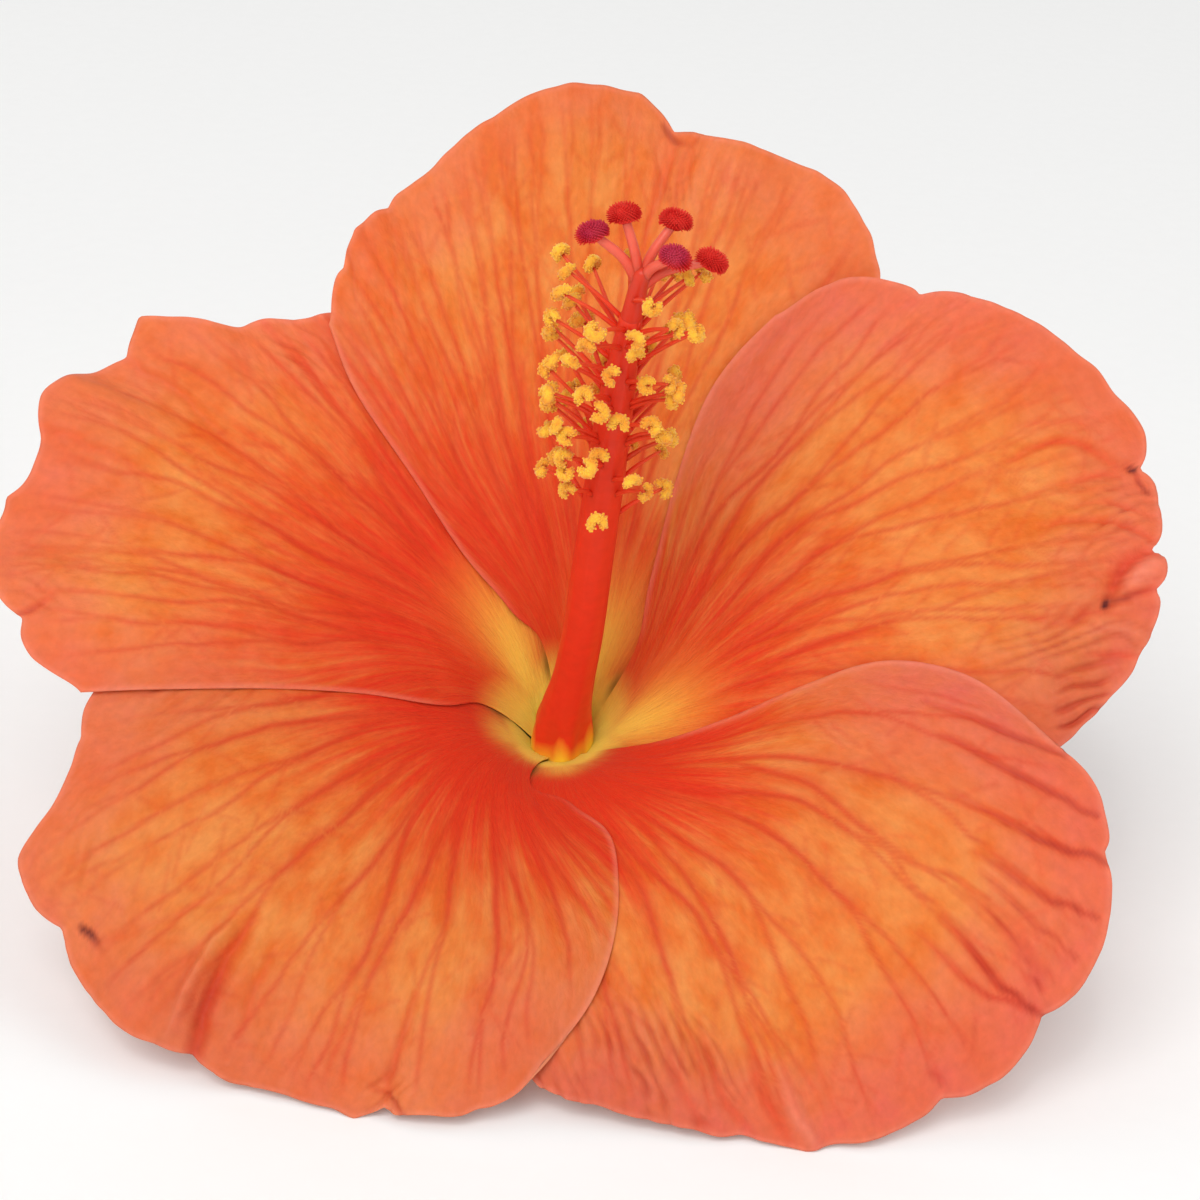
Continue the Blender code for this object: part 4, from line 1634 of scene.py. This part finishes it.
@dataclass(frozen=True)
class LeafFinish:
    """Young leaf tissue of sepals, bracts and stalk: matt green, finely hairy, with pale ribs."""

    name: str
    green: str
    pale: str
    blush: str
    roughness: float = 0.62
    # Paler patches about 4 mm wide.
    patch_per_m: float = 260.0
    # Leaf hairs are about 0.1 mm apart; drawn 0.3 mm apart so that they show.
    hair_per_m: float = 3500.0

    def material(self) -> bpy.types.Material:
        """Build the material.

        Returns:
            The material.
        """
        shade = Shading(self.name)
        place = shade.add("ShaderNodeTexCoord").outputs["Object"]
        rise, rib = shade.read("rise"), shade.read("rib")
        patch = shade.noise(place, self.patch_per_m, 3.0)
        fine = shade.noise(place, self.hair_per_m, 2.0)
        colour = shade.blend(shade.remap(patch, 0.3, 0.7), srgb(self.green), srgb(self.pale))
        colour = shade.blend(shade.join(rib, 0.6), colour, srgb(self.pale))
        colour = shade.blend(shade.remap(rise, 0.7, 1.0, 0.0, 0.45), colour, srgb(self.blush))
        relief = shade.bump(fine, 0.06 * MM, 0.7)
        return shade.finish(
            Base_Color=colour,
            Roughness=self.roughness,
            IOR=1.42,
            Specular_IOR_Level=0.35,
            Sheen_Weight=0.2,
            Subsurface_Weight=0.15,
            Subsurface_Radius=(0.6, 1.0, 0.2),
            Subsurface_Scale=0.8 * MM,
            Normal=relief,
        )


@dataclass
class StaminalColumn:
    """The tube that carries the stamens: a flared foot, a long red shaft and free filaments."""

    workshop: Workshop
    course: tuple[tuple[float, float, float, float], ...] = (
        (0.0, 0.0, -4.8, 2.2),
        (0.0, 0.0, -2.6, 3.1),
        (0.0, 0.0, 0.0, 3.05),
        (0.4, 0.0, 3.5, 2.65),
        (1.2, 0.0, 8.0, 2.2),
        (2.2, 0.0, 15.0, 2.05),
        (3.3, 0.0, 26.0, 1.95),
        (4.5, 0.0, 38.0, 1.85),
        (5.6, 0.0, 49.0, 1.6),
        (6.8, 0.0, 58.5, 1.02),
    )
    colour_low: float = -2.3
    colour_run: float = 8.0
    tongue: float = 1.8
    lobe_depth: float = 0.35
    lobe_turn: float = 62.0
    groove_depth: float = 0.03
    stamens: int = 45
    extra: int = 34
    extra_low: float = 37.0
    extra_high: float = 55.5
    sides: int = 40
    rings: int = 110
    filament_radius: float = 0.2
    filament_rise: float = 0.95
    filament_length: tuple[float, float] = (3.4, 4.6)
    spiral: float = 137.5
    filament_rings: int = 9
    filament_sides: int = 7

    def at(self, height: float) -> tuple[Vector, float]:
        """Measure the column at a height.

        Args:
            height: Height above the throat.

        Returns:
            Its centre and its radius there.
        """
        x, y, heights, radii = zip(*self.course)
        centre = (np.interp(height, heights, x), np.interp(height, heights, y), height)
        return Vector(centre), float(np.interp(height, heights, radii))

    def anther_places(self) -> list[Vector]:
        """Place the anthers.

        Returns:
            The middle of every anther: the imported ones, then extra ones between them.
        """
        nodes = [f"anther_{index:02d}" for index in range(1, self.stamens + 1)]
        places = [self.workshop.placement.node_centre(node) for node in nodes]
        chance = random.Random(23)
        for index in range(self.extra):
            share = index / (self.extra - 1)
            height = self.extra_low + (self.extra_high - self.extra_low) * share
            root, radius = self.at(height)
            turn = math.radians(self.spiral * index + 75 + chance.uniform(-20, 20))
            reach = radius + chance.uniform(*self.filament_length) + 1.6 * share
            away = Vector((math.cos(turn), math.sin(turn), self.filament_rise))
            places.append(root + away * reach)
        return places

    def filament(self, place: Vector) -> tuple[list[Vector], Vector]:
        """Course of the filament that carries an anther.

        Args:
            place: The anther's middle.

        Returns:
            Points from the column to the anther, and the direction at the anther.
        """
        beside, _ = self.at(place.z)
        away = Vector((place.x - beside.x, place.y - beside.y, 0.0))
        reach = max(away.length, 1e-6)
        away.normalize()
        root_height = place.z - max(reach - 1.8, 0.5) * self.filament_rise
        root, radius = self.at(root_height)
        start = root + away * (radius - 0.3)
        knee = start.lerp(place, 0.45) + Vector((0, 0, 0.1)) - away * 0.25
        course = curve_through([start, knee, place], self.filament_rings)
        return course, (course[-1] - course[-3]).normalized()

    def build(self) -> None:
        """Make the column with its filaments as one grown piece."""
        bm = bmesh.new()
        rise = []
        knots = np.array(self.course)
        at = (knots[:, 2] - knots[0, 2]) / (knots[-1, 2] - knots[0, 2])
        rows = hermite(at, knots, np.linspace(0, 1, self.rings))
        shaft = sweep(bm, [Vector(r[:3]) for r in rows], [float(r[3]) for r in rows], self.sides)
        for vert in shaft:
            self.flute(vert)
            turn = math.atan2(vert.co.y, vert.co.x) + math.pi / 2
            tongue = self.tongue * max(math.cos(5 * turn), 0.0)
            height = vert.co.z - self.colour_low - tongue
            rise.append(min(max(height / self.colour_run, 0.0), 0.5))
        last = self.filament_rings - 1
        radii = [self.filament_radius * (1.35 - 0.6 * i / last) for i in range(last + 1)]
        for place in self.anther_places():
            course, _ = self.filament(place)
            made = sweep(bm, course, radii, self.filament_sides)
            rise.extend(0.5 + 0.5 * (i // self.filament_sides) / last for i in range(len(made)))
        mesh = self.workshop.mesh_of(bm, "staminal_tube")
        keep(mesh, "rise", np.array(rise))
        finish = StemFinish("column_skin", "#ffcf3c", "#e1361c", "#e8562e")
        skin = finish.material()
        self.workshop.piece("staminal_tube", mesh, skin, Slot.COLUMN, ("staminal_column",))

    def flute(self, vert: bmesh.types.BMVert) -> None:
        """Shape five shallow lobes at the column's foot, and fine grooves above them.

        Args:
            vert: A point of the shaft.
        """
        centre, _ = self.at(vert.co.z)
        away = Vector((vert.co.x - centre.x, vert.co.y - centre.y, 0.0))
        if away.length < 1e-6:
            return
        turn = math.atan2(away.y, away.x)
        foot = math.exp(-(((vert.co.z - 0.5) / 3.0) ** 2))
        lobes = self.lobe_depth * foot * math.cos(5 * (turn - math.radians(self.lobe_turn)))
        grooves = self.groove_depth * math.cos(10 * turn)
        vert.co += away.normalized() * (lobes + grooves)


@dataclass
class Anthers:
    """Burst anthers: each a curled kidney crusted with pollen grains."""

    workshop: Workshop
    column: StaminalColumn
    arc: float = 270.0
    ring_radius: float = 0.56
    thickness: float = 0.4
    flatten: float = 1.15
    bends: int = 12
    sides: int = 12
    # Pollen grains are about 0.15 mm across; drawn up to 0.29 mm so that the crust shows.
    grain_radius: float = 0.11
    grains: int = 110
    kinds: int = 5

    def kidney(self, seed: int) -> bmesh.types.BMesh:
        """One anther at the origin, its stalk side down: a bent sausage and its grains.

        Args:
            seed: Which variant.

        Returns:
            The shape, one millimetre and a half across.
        """
        chance = random.Random(seed)
        bm = bmesh.new()
        half = math.radians(self.arc / 2) * chance.uniform(0.85, 1.1)
        turns = [half * (2 * i / self.bends - 1) for i in range(self.bends + 1)]
        path = []
        for turn in turns:
            dip = 0.25 - 0.3 * (turn / half) ** 2
            across, up = math.sin(turn) * self.ring_radius, math.cos(turn) * self.ring_radius
            path.append(Vector((across, up, dip)))
        girths = [0.55 + 0.45 * math.cos(turn / half * 1.3) for turn in turns]
        radii = [self.thickness * girth * chance.uniform(0.92, 1.08) for girth in girths]
        sweep(bm, path, radii, self.sides, self.flatten)
        skin = [v.co.copy() for v in bm.verts]
        for _ in range(self.grains):
            spot = chance.choice(skin) + Vector([chance.uniform(-0.07, 0.07) for _ in range(3)])
            size = self.grain_radius * chance.uniform(0.75, 1.3)
            place = Matrix.Translation(spot)
            bmesh.ops.create_icosphere(bm, subdivisions=1, radius=size, matrix=place)
        return bm

    def build(self) -> None:
        """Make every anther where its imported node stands, and the extra ones."""
        finish = PollenFinish().material()
        kinds = [
            self.workshop.mesh_of(self.kidney(seed), f"anther_kind_{seed}")
            for seed in range(self.kinds)
        ]
        chance = random.Random(5)
        for index, place in enumerate(self.column.anther_places(), start=1):
            _, heading = self.column.filament(place)
            turn = heading.to_track_quat("Z", "Y").to_matrix().to_4x4()
            spin = Matrix.Rotation(chance.uniform(0, math.tau), 4, "Z")
            tip = Matrix.Rotation(chance.uniform(-0.8, 0.8), 4, "X")
            size = Matrix.Scale(chance.uniform(0.95, 1.15), 4)
            mesh = kinds[index % self.kinds].copy()
            mesh.transform(Matrix.Translation(place) @ turn @ spin @ tip @ size)
            nodes = (f"anther_{index:02d}",) if index <= self.column.stamens else ()
            self.workshop.piece(f"pollen_anther_{index:02d}", mesh, finish, Slot.ANTHER, nodes)
        for kind in kinds:
            bpy.data.meshes.remove(kind)


@dataclass
class Pistil:
    """The style that leaves the column's top, its five branches and their velvet stigma pads."""

    workshop: Workshop
    start: tuple[float, float, float] = (6.6, 0.0, 57.0)
    fork: tuple[float, float, float] = (7.5, 0.0, 62.5)
    style_radius: float = 0.95
    branch_radius: float = 0.42
    pad_radius: float = 1.26
    pad_height: float = 0.86
    # Stigma hairs are about 0.05 mm thick; drawn three times as thick so that the velvet shows.
    hairs: int = 260
    hair_foot: float = 0.09
    hair_tip: float = 0.04
    hair_length: tuple[float, float] = (0.3, 0.5)
    stem_rings: int = 16
    stem_sides: int = 20
    branch_rings: int = 14
    branch_sides: int = 12
    spiral: float = 137.5
    stigmas: int = 5
    violet: tuple[float, ...] = (0.32, 0.0, 0.0, 0.4, 0.0)

    def build(self) -> None:
        """Make the style with its branches, and the pads."""
        bm = bmesh.new()
        rise = []
        fork = Vector(self.fork)
        start = Vector(self.start)
        knots = [start, start.lerp(fork, 0.5), fork, fork + Vector((0.2, 0, 1.0))]
        last = self.stem_rings - 1
        radii = [self.style_radius * (1.1 - 0.25 * i / last) for i in range(last + 1)]
        stem = curve_through(knots, self.stem_rings)
        made = sweep(bm, stem, radii, self.stem_sides, round_ends=True)
        rise.extend(0.15 + 0.35 * i / len(made) for i in range(len(made)))
        velvet = VelvetFinish().material()
        last = self.branch_rings - 1
        radii = [self.branch_radius * (1.3 - 0.35 * i / last) for i in range(last + 1)]
        for index in range(1, self.stigmas + 1):
            tip = self.workshop.placement.node_centre(f"stigma_{index}")
            spread = tip - fork
            knee = fork + Vector((spread.x * 0.3, spread.y * 0.3, spread.z * 0.5))
            course = curve_through([fork + Vector((0, 0, -0.6)), knee, tip], self.branch_rings)
            made = sweep(bm, course, radii, self.branch_sides)
            rise.extend(0.5 + 0.5 * (i // self.branch_sides) / last for i in range(len(made)))
            out = (course[-1] - course[-4]).normalized().lerp(Vector((0.0, 0.45, 0.9)), 0.62)
            self.pad(index, tip, out, velvet)
        mesh = self.workshop.mesh_of(bm, "style_branches")
        keep(mesh, "rise", np.array(rise))
        finish = StemFinish("style_skin", "#d6361f", "#d83e26", "#e86f58", roughness=0.35)
        self.workshop.piece("style_branches", mesh, finish.material(), Slot.STYLE, ("style",))

    def pad(self, index: int, tip: Vector, out: Vector, finish: bpy.types.Material) -> None:
        """Make one stigma pad: a flat cushion covered with short hairs.

        Args:
            index: Number of the branch, from 1.
            tip: The pad's middle.
            out: The branch's direction.
            finish: The velvet.
        """
        chance = random.Random(40 + index)
        bm = bmesh.new()
        bmesh.ops.create_uvsphere(bm, u_segments=28, v_segments=16, radius=1.0)
        bmesh.ops.scale(bm, vec=(self.pad_radius, self.pad_radius, self.pad_height), verts=bm.verts)
        for vert in bm.verts:
            vert.co *= 1 + 0.05 * math.sin(5 * vert.co.x + index) * math.cos(4 * vert.co.y)
        for step in range(self.hairs):
            height = 1 - 1.55 * (step + 0.5) / self.hairs
            round_radius = math.sqrt(1 - height * height)
            turn = math.radians(self.spiral * step)
            normal = Vector((math.cos(turn) * round_radius, math.sin(turn) * round_radius, height))
            spot = normal * Vector((self.pad_radius, self.pad_radius, self.pad_height))
            lean = normal.to_track_quat("Z", "Y").to_matrix().to_4x4()
            length = chance.uniform(*self.hair_length)
            bmesh.ops.create_cone(
                bm,
                cap_ends=True,
                segments=5,
                radius1=self.hair_foot,
                radius2=self.hair_tip,
                depth=length,
                matrix=Matrix.Translation(spot + normal * length * 0.3) @ lean,
            )
        place = Matrix.Translation(tip) @ out.to_track_quat("Z", "Y").to_matrix().to_4x4()
        bmesh.ops.transform(bm, matrix=place, verts=bm.verts)
        mesh = self.workshop.mesh_of(bm, f"stigma_pad_{index}")
        heights = np.array([(vert.co - tip).z for vert in mesh.vertices])
        keep(mesh, "violet", self.violet[index - 1] * smooth(heights, -0.2, 0.9))
        self.workshop.piece(f"stigma_pad_{index}", mesh, finish, Slot.STIGMA, (f"stigma_{index}",))


@dataclass
class Calyx:
    """The green cup of five pointed lobes behind the petals."""

    workshop: Workshop
    funnel: Funnel = field(default_factory=Funnel)
    bottom: float = -9.0
    foot: float = 1.8
    clearance: float = 2.0
    wall: float = 0.6
    sinus: float = 10.0
    tip: float = 19.0
    lobe_turn: float = 98.0
    rib_height: float = 0.18
    bowl: float = 0.3
    around: int = 240
    rings: int = 70

    def points(self, turn: np.ndarray, share: np.ndarray) -> np.ndarray:
        """Points of the cup: its bowl first, then its lobes behind the petals.

        Args:
            turn: Degrees round the axis.
            share: 0 at the foot, 1 at the lobes' edge.

        Returns:
            One row of x, y and height for each point.
        """
        bowl = np.clip(share / self.bowl, 0, 1) * math.pi / 2
        lobe = np.clip((share - self.bowl) / (1 - self.bowl), 0, 1)
        aside = np.abs((turn - self.lobe_turn + 36.0) % 72.0 - 36.0) / 36.0
        pointed = 1 - aside**0.75
        reach = (self.sinus + (self.tip - self.sinus) * pointed) * lobe
        rib = self.ribs(turn)
        lift = -self.clearance * (0.6 + 0.4 * np.minimum(1.0, lobe * 4))
        lift -= self.rib_height * rib * smooth(share, 0.05, 0.3)
        behind = self.funnel.points(turn, reach, lift)
        out = np.hypot(behind[:, 0], behind[:, 1])
        radius = self.foot + (out - self.foot) * np.sin(bowl)
        height = self.bottom + (behind[:, 2] - self.bottom) * (1 - np.cos(bowl))
        return np.stack([behind[:, 0] / out * radius, behind[:, 1] / out * radius, height], -1)

    def ribs(self, turn: np.ndarray) -> np.ndarray:
        """Find the ribs: one along each lobe's middle and one at each edge.

        Args:
            turn: Degrees round the axis.

        Returns:
            Their strength, from 0 to 1.
        """
        middle = np.abs(np.cos(np.radians((turn - self.lobe_turn) * 2.5))) ** 40
        edge = np.abs(np.sin(np.radians((turn - self.lobe_turn) * 2.5))) ** 60
        return np.maximum(middle, edge)

    def build(self) -> None:
        """Make the cup as a rolled grid with a wall, closed along its seam."""
        bm = bmesh.new()
        bmesh.ops.create_grid(bm, x_segments=self.around, y_segments=self.rings, size=0.5)
        turn = np.array([(v.co.x + 0.5) * 360.0 + self.lobe_turn for v in bm.verts])
        share = np.array([v.co.y + 0.5 for v in bm.verts])
        layer_rise = bm.verts.layers.float.new("rise")
        layer_rib = bm.verts.layers.float.new("rib")
        rib = self.ribs(turn)
        for index, (vert, place) in enumerate(zip(bm.verts, self.points(turn, share))):
            vert.co = Vector(place)
            vert[layer_rise] = share[index]
            vert[layer_rib] = rib[index]
        bmesh.ops.remove_doubles(bm, verts=bm.verts, dist=0.001)
        bmesh.ops.recalc_face_normals(bm, faces=bm.faces)
        mesh = self.workshop.mesh_of(bm, "calyx_cup")
        finish = LeafFinish("sepal_leaf", "#6f8a34", "#a3ad58", "#c98a48")
        item = self.workshop.piece("calyx_cup", mesh, finish.material(), Slot.SEPAL, ("calyx",))
        wall = item.modifiers.new("wall", "SOLIDIFY")
        wall.thickness = self.wall * MM
        wall.offset = 0.0


@dataclass
class Epicalyx:
    """The ring of narrow bracts below the calyx."""

    workshop: Workshop
    bracts: int = 7
    course: tuple[tuple[float, float, float], ...] = (
        (1.2, -10.2, 0.6),
        (4.2, -9.6, 1.0),
        (8.2, -6.6, 0.95),
        (10.8, -2.2, 0.62),
        (12.4, 1.6, 0.2),
    )
    rings: int = 24
    sides: int = 12
    collar_radius: float = 2.6
    collar_top: float = -9.5
    collar_bottom: float = -10.9
    collar_bevel: float = 0.2
    flatten: float = 0.42

    def build(self) -> None:
        """Make the collar and its bracts as one grown piece."""
        bm = bmesh.new()
        low, high, bevel = self.collar_bottom, self.collar_top, self.collar_bevel
        heights = (low, low + bevel, high - bevel, high)
        radii = [self.collar_radius * share for share in (0.85, 1.0, 1.0, 0.85)]
        made = sweep(bm, [Vector((0, 0, z)) for z in heights], radii, 32)
        rise = [0.0] * len(made)
        spots = np.linspace(0, 1, len(self.course))
        widths = np.interp(np.linspace(0, 1, self.rings), spots, [w for _, _, w in self.course])
        widths = [float(width) for width in widths]
        for index in range(self.bracts):
            turn = math.tau * (index + 0.3) / self.bracts
            knots = [Vector((r * math.cos(turn), r * math.sin(turn), z)) for r, z, _ in self.course]
            course = curve_through(knots, self.rings)
            made = sweep(bm, course, widths, self.sides, self.flatten, round_ends=True)
            rise.extend((i // self.sides) / (self.rings + 2) for i in range(len(made)))
        mesh = self.workshop.mesh_of(bm, "epicalyx_bracts")
        keep(mesh, "rise", np.array(rise))
        keep(mesh, "rib", np.zeros(len(rise)))
        finish = LeafFinish("bract_leaf", "#5d7a2c", "#8f9f4c", "#a8793c")
        self.workshop.piece("epicalyx_bracts", mesh, finish.material(), Slot.SEPAL, ("epicalyx",))


@dataclass
class Pedicel:
    """The short stub of stalk, bent back, with its joint ring and its cut end."""

    workshop: Workshop
    course: tuple[tuple[float, float, float, float], ...] = (
        (0.0, 0.0, -11.3, 1.7),
        (0.0, 0.3, -13.0, 1.3),
        (0.0, 1.6, -16.5, 1.2),
        (0.0, 3.8, -20.0, 1.25),
        (0.0, 5.4, -22.2, 1.6),
        (0.0, 6.6, -23.6, 1.45),
    )
    rings: int = 60
    sides: int = 28

    def build(self) -> None:
        """Make the stalk."""
        bm = bmesh.new()
        knots = np.array(self.course)
        steps = np.linalg.norm(np.diff(knots[:, :3], axis=0), axis=1)
        at = np.concatenate(([0.0], np.cumsum(steps))) / steps.sum()
        rows = hermite(at, knots, np.linspace(0, 1, self.rings))
        made = sweep(bm, [Vector(r[:3]) for r in rows], [float(r[3]) for r in rows], self.sides)
        rise = np.repeat(np.linspace(0, 1, self.rings), self.sides)[: len(made)]
        mesh = self.workshop.mesh_of(bm, "stalk_stub")
        keep(mesh, "rise", rise)
        keep(mesh, "rib", np.zeros(len(rise)))
        finish = LeafFinish("stalk_skin", "#5f7a30", "#8c9a4a", "#b79a62", roughness=0.5)
        self.workshop.piece("stalk_stub", mesh, finish.material(), Slot.STALK, ("pedicel",))


@dataclass(frozen=True)
class PaperFinish:
    """Matt white paper, pressed smooth: an even pale floor with no shine."""

    white: str = "#f9f9f8"
    bright: str = "#fcfcfb"
    roughness: float = 0.9
    # Paper fibre is about 0.02 mm thick; drawn as 2.5 mm clouds that are only just there.
    grain_per_m: float = 400.0

    def material(self) -> bpy.types.Material:
        """Build the material.

        Returns:
            The material.
        """
        shade = Shading("white_paper_sweep")
        place = shade.add("ShaderNodeTexCoord").outputs["Object"]
        grain = shade.noise(place, self.grain_per_m, 2.0)
        tone = shade.blend(grain, srgb(self.white), srgb(self.bright))
        return shade.finish(Base_Color=tone, Roughness=self.roughness)


@dataclass(frozen=True)
class Softbox:
    """A round soft light aimed at the origin: its place and size in metres, its power in watts."""

    place: tuple[float, float, float]
    size: float
    power: float


@dataclass
class Studio:
    """Pale floor, soft lights and the camera that looks down into the flower.

    The camera's lengths are millimetres and angles degrees; the floor and lamps are in metres.
    """

    placement: Placement = field(default_factory=Placement)
    view_angle: float = 42.0
    distance: float = 330.0
    frame_width: float = 124.0
    aim: tuple[float, float] = (4.0, 13.7)
    sensor: float = 36.0
    floor_half: float = 3.0
    air: float = 0.56
    softboxes: tuple[Softbox, ...] = (
        Softbox((-0.56, -1.52, 1.68), 1.6, 33.0),
        Softbox((0.9, -0.5, 0.9), 0.9, 2.0),
    )
    spot_aside: tuple[float, float, float] = (-0.144, -0.495, 0.738)
    spot_power: float = 17.0
    spot_angle: float = 5.6
    spot_radius: float = 0.12

    def build(self) -> None:
        """Set the stage."""
        self.floor()
        self.lights()
        self.camera()
        scene = bpy.context.scene
        scene.view_settings.view_transform = "Standard"
        scene.view_settings.look = "None"

    def floor(self) -> None:
        """Lay a wide floor of paper."""
        bm = bmesh.new()
        bmesh.ops.create_grid(bm, x_segments=1, y_segments=1, size=self.floor_half)
        mesh = Workshop.mesh_of(bm, "studio_floor")
        mesh.materials.append(PaperFinish().material())
        item = bpy.data.objects.new("studio_floor", mesh)
        bpy.context.scene.collection.objects.link(item)

    def lights(self) -> None:
        """Add a pale world, a broad soft light above the camera and a weaker one from the right."""
        world = bpy.data.worlds.new("studio_air")
        bpy.context.scene.world = world
        world.use_nodes = True
        world.node_tree.nodes.clear()
        white = {0: srgb("#ffffff"), 1: self.air}
        air = add_node(world.node_tree, "ShaderNodeBackground", white)
        add_node(world.node_tree, "ShaderNodeOutputWorld", {0: air.outputs[0]})
        for index, box in enumerate(self.softboxes):
            lamp = bpy.data.lights.new(f"softbox_{index}", "AREA")
            lamp.shape = "DISK"
            lamp.size = box.size
            lamp.energy = box.power
            self.aim_lamp(lamp, Vector(box.place), Vector((0.0, 0.0, 0.0)))
        self.throat_light()

    def throat_light(self) -> None:
        """Add a faint soft spot that lifts the deep throat, as light through the petals does."""
        lamp = bpy.data.lights.new("throat_spot", "SPOT")
        lamp.energy = self.spot_power
        lamp.spot_size = math.radians(self.spot_angle)
        lamp.spot_blend = 1.0
        lamp.shadow_soft_size = self.spot_radius
        throat = Vector(self.placement.throat) * MM
        self.aim_lamp(lamp, throat + Vector(self.spot_aside), throat)

    @staticmethod
    def aim_lamp(lamp: bpy.types.Light, place: Vector, target: Vector) -> None:
        """Hang a lamp and aim it.

        Args:
            lamp: The lamp.
            place: Where it hangs, in metres.
            target: What it is aimed at.
        """
        item = bpy.data.objects.new(lamp.name, lamp)
        item.location = place
        item.rotation_euler = (target - place).to_track_quat("-Z", "Y").to_euler()
        bpy.context.scene.collection.objects.link(item)

    def camera(self) -> None:
        """Look down into the throat at the view angle from the flower's axis."""
        tip = math.radians(self.view_angle)
        back = Vector((0.0, -math.sin(tip), math.cos(tip)))
        up = Vector((0.0, math.cos(tip), math.sin(tip)))
        right = Vector((1.0, 0.0, 0.0))
        eye = back * self.distance + right * self.aim[0] + up * self.aim[1]
        turn = Matrix((right, up, back)).transposed()
        placed = self.placement.matrix()
        view = bpy.data.cameras.new("view")
        view.sensor_width = self.sensor
        view.lens = self.sensor * self.distance / self.frame_width
        view.clip_start = 0.01
        item = bpy.data.objects.new("view", view)
        spin = placed.to_3x3().normalized() @ turn
        item.matrix_world = Matrix.Translation(placed @ eye) @ spin.to_4x4()
        bpy.context.scene.collection.objects.link(item)
        bpy.context.scene.camera = item


def main() -> None:
    """Build every sub-assembly in order and note the sizes."""
    logging.basicConfig(level=logging.INFO, format="%(name)s %(message)s")
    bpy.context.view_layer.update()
    workshop = Workshop()
    Corolla(workshop).build()
    column = StaminalColumn(workshop)
    column.build()
    Anthers(workshop, column).build()
    Pistil(workshop).build()
    Calyx(workshop).build()
    Epicalyx(workshop).build()
    Pedicel(workshop).build()
    Studio(workshop.placement).build()


if __name__ == "__main__":
    main()
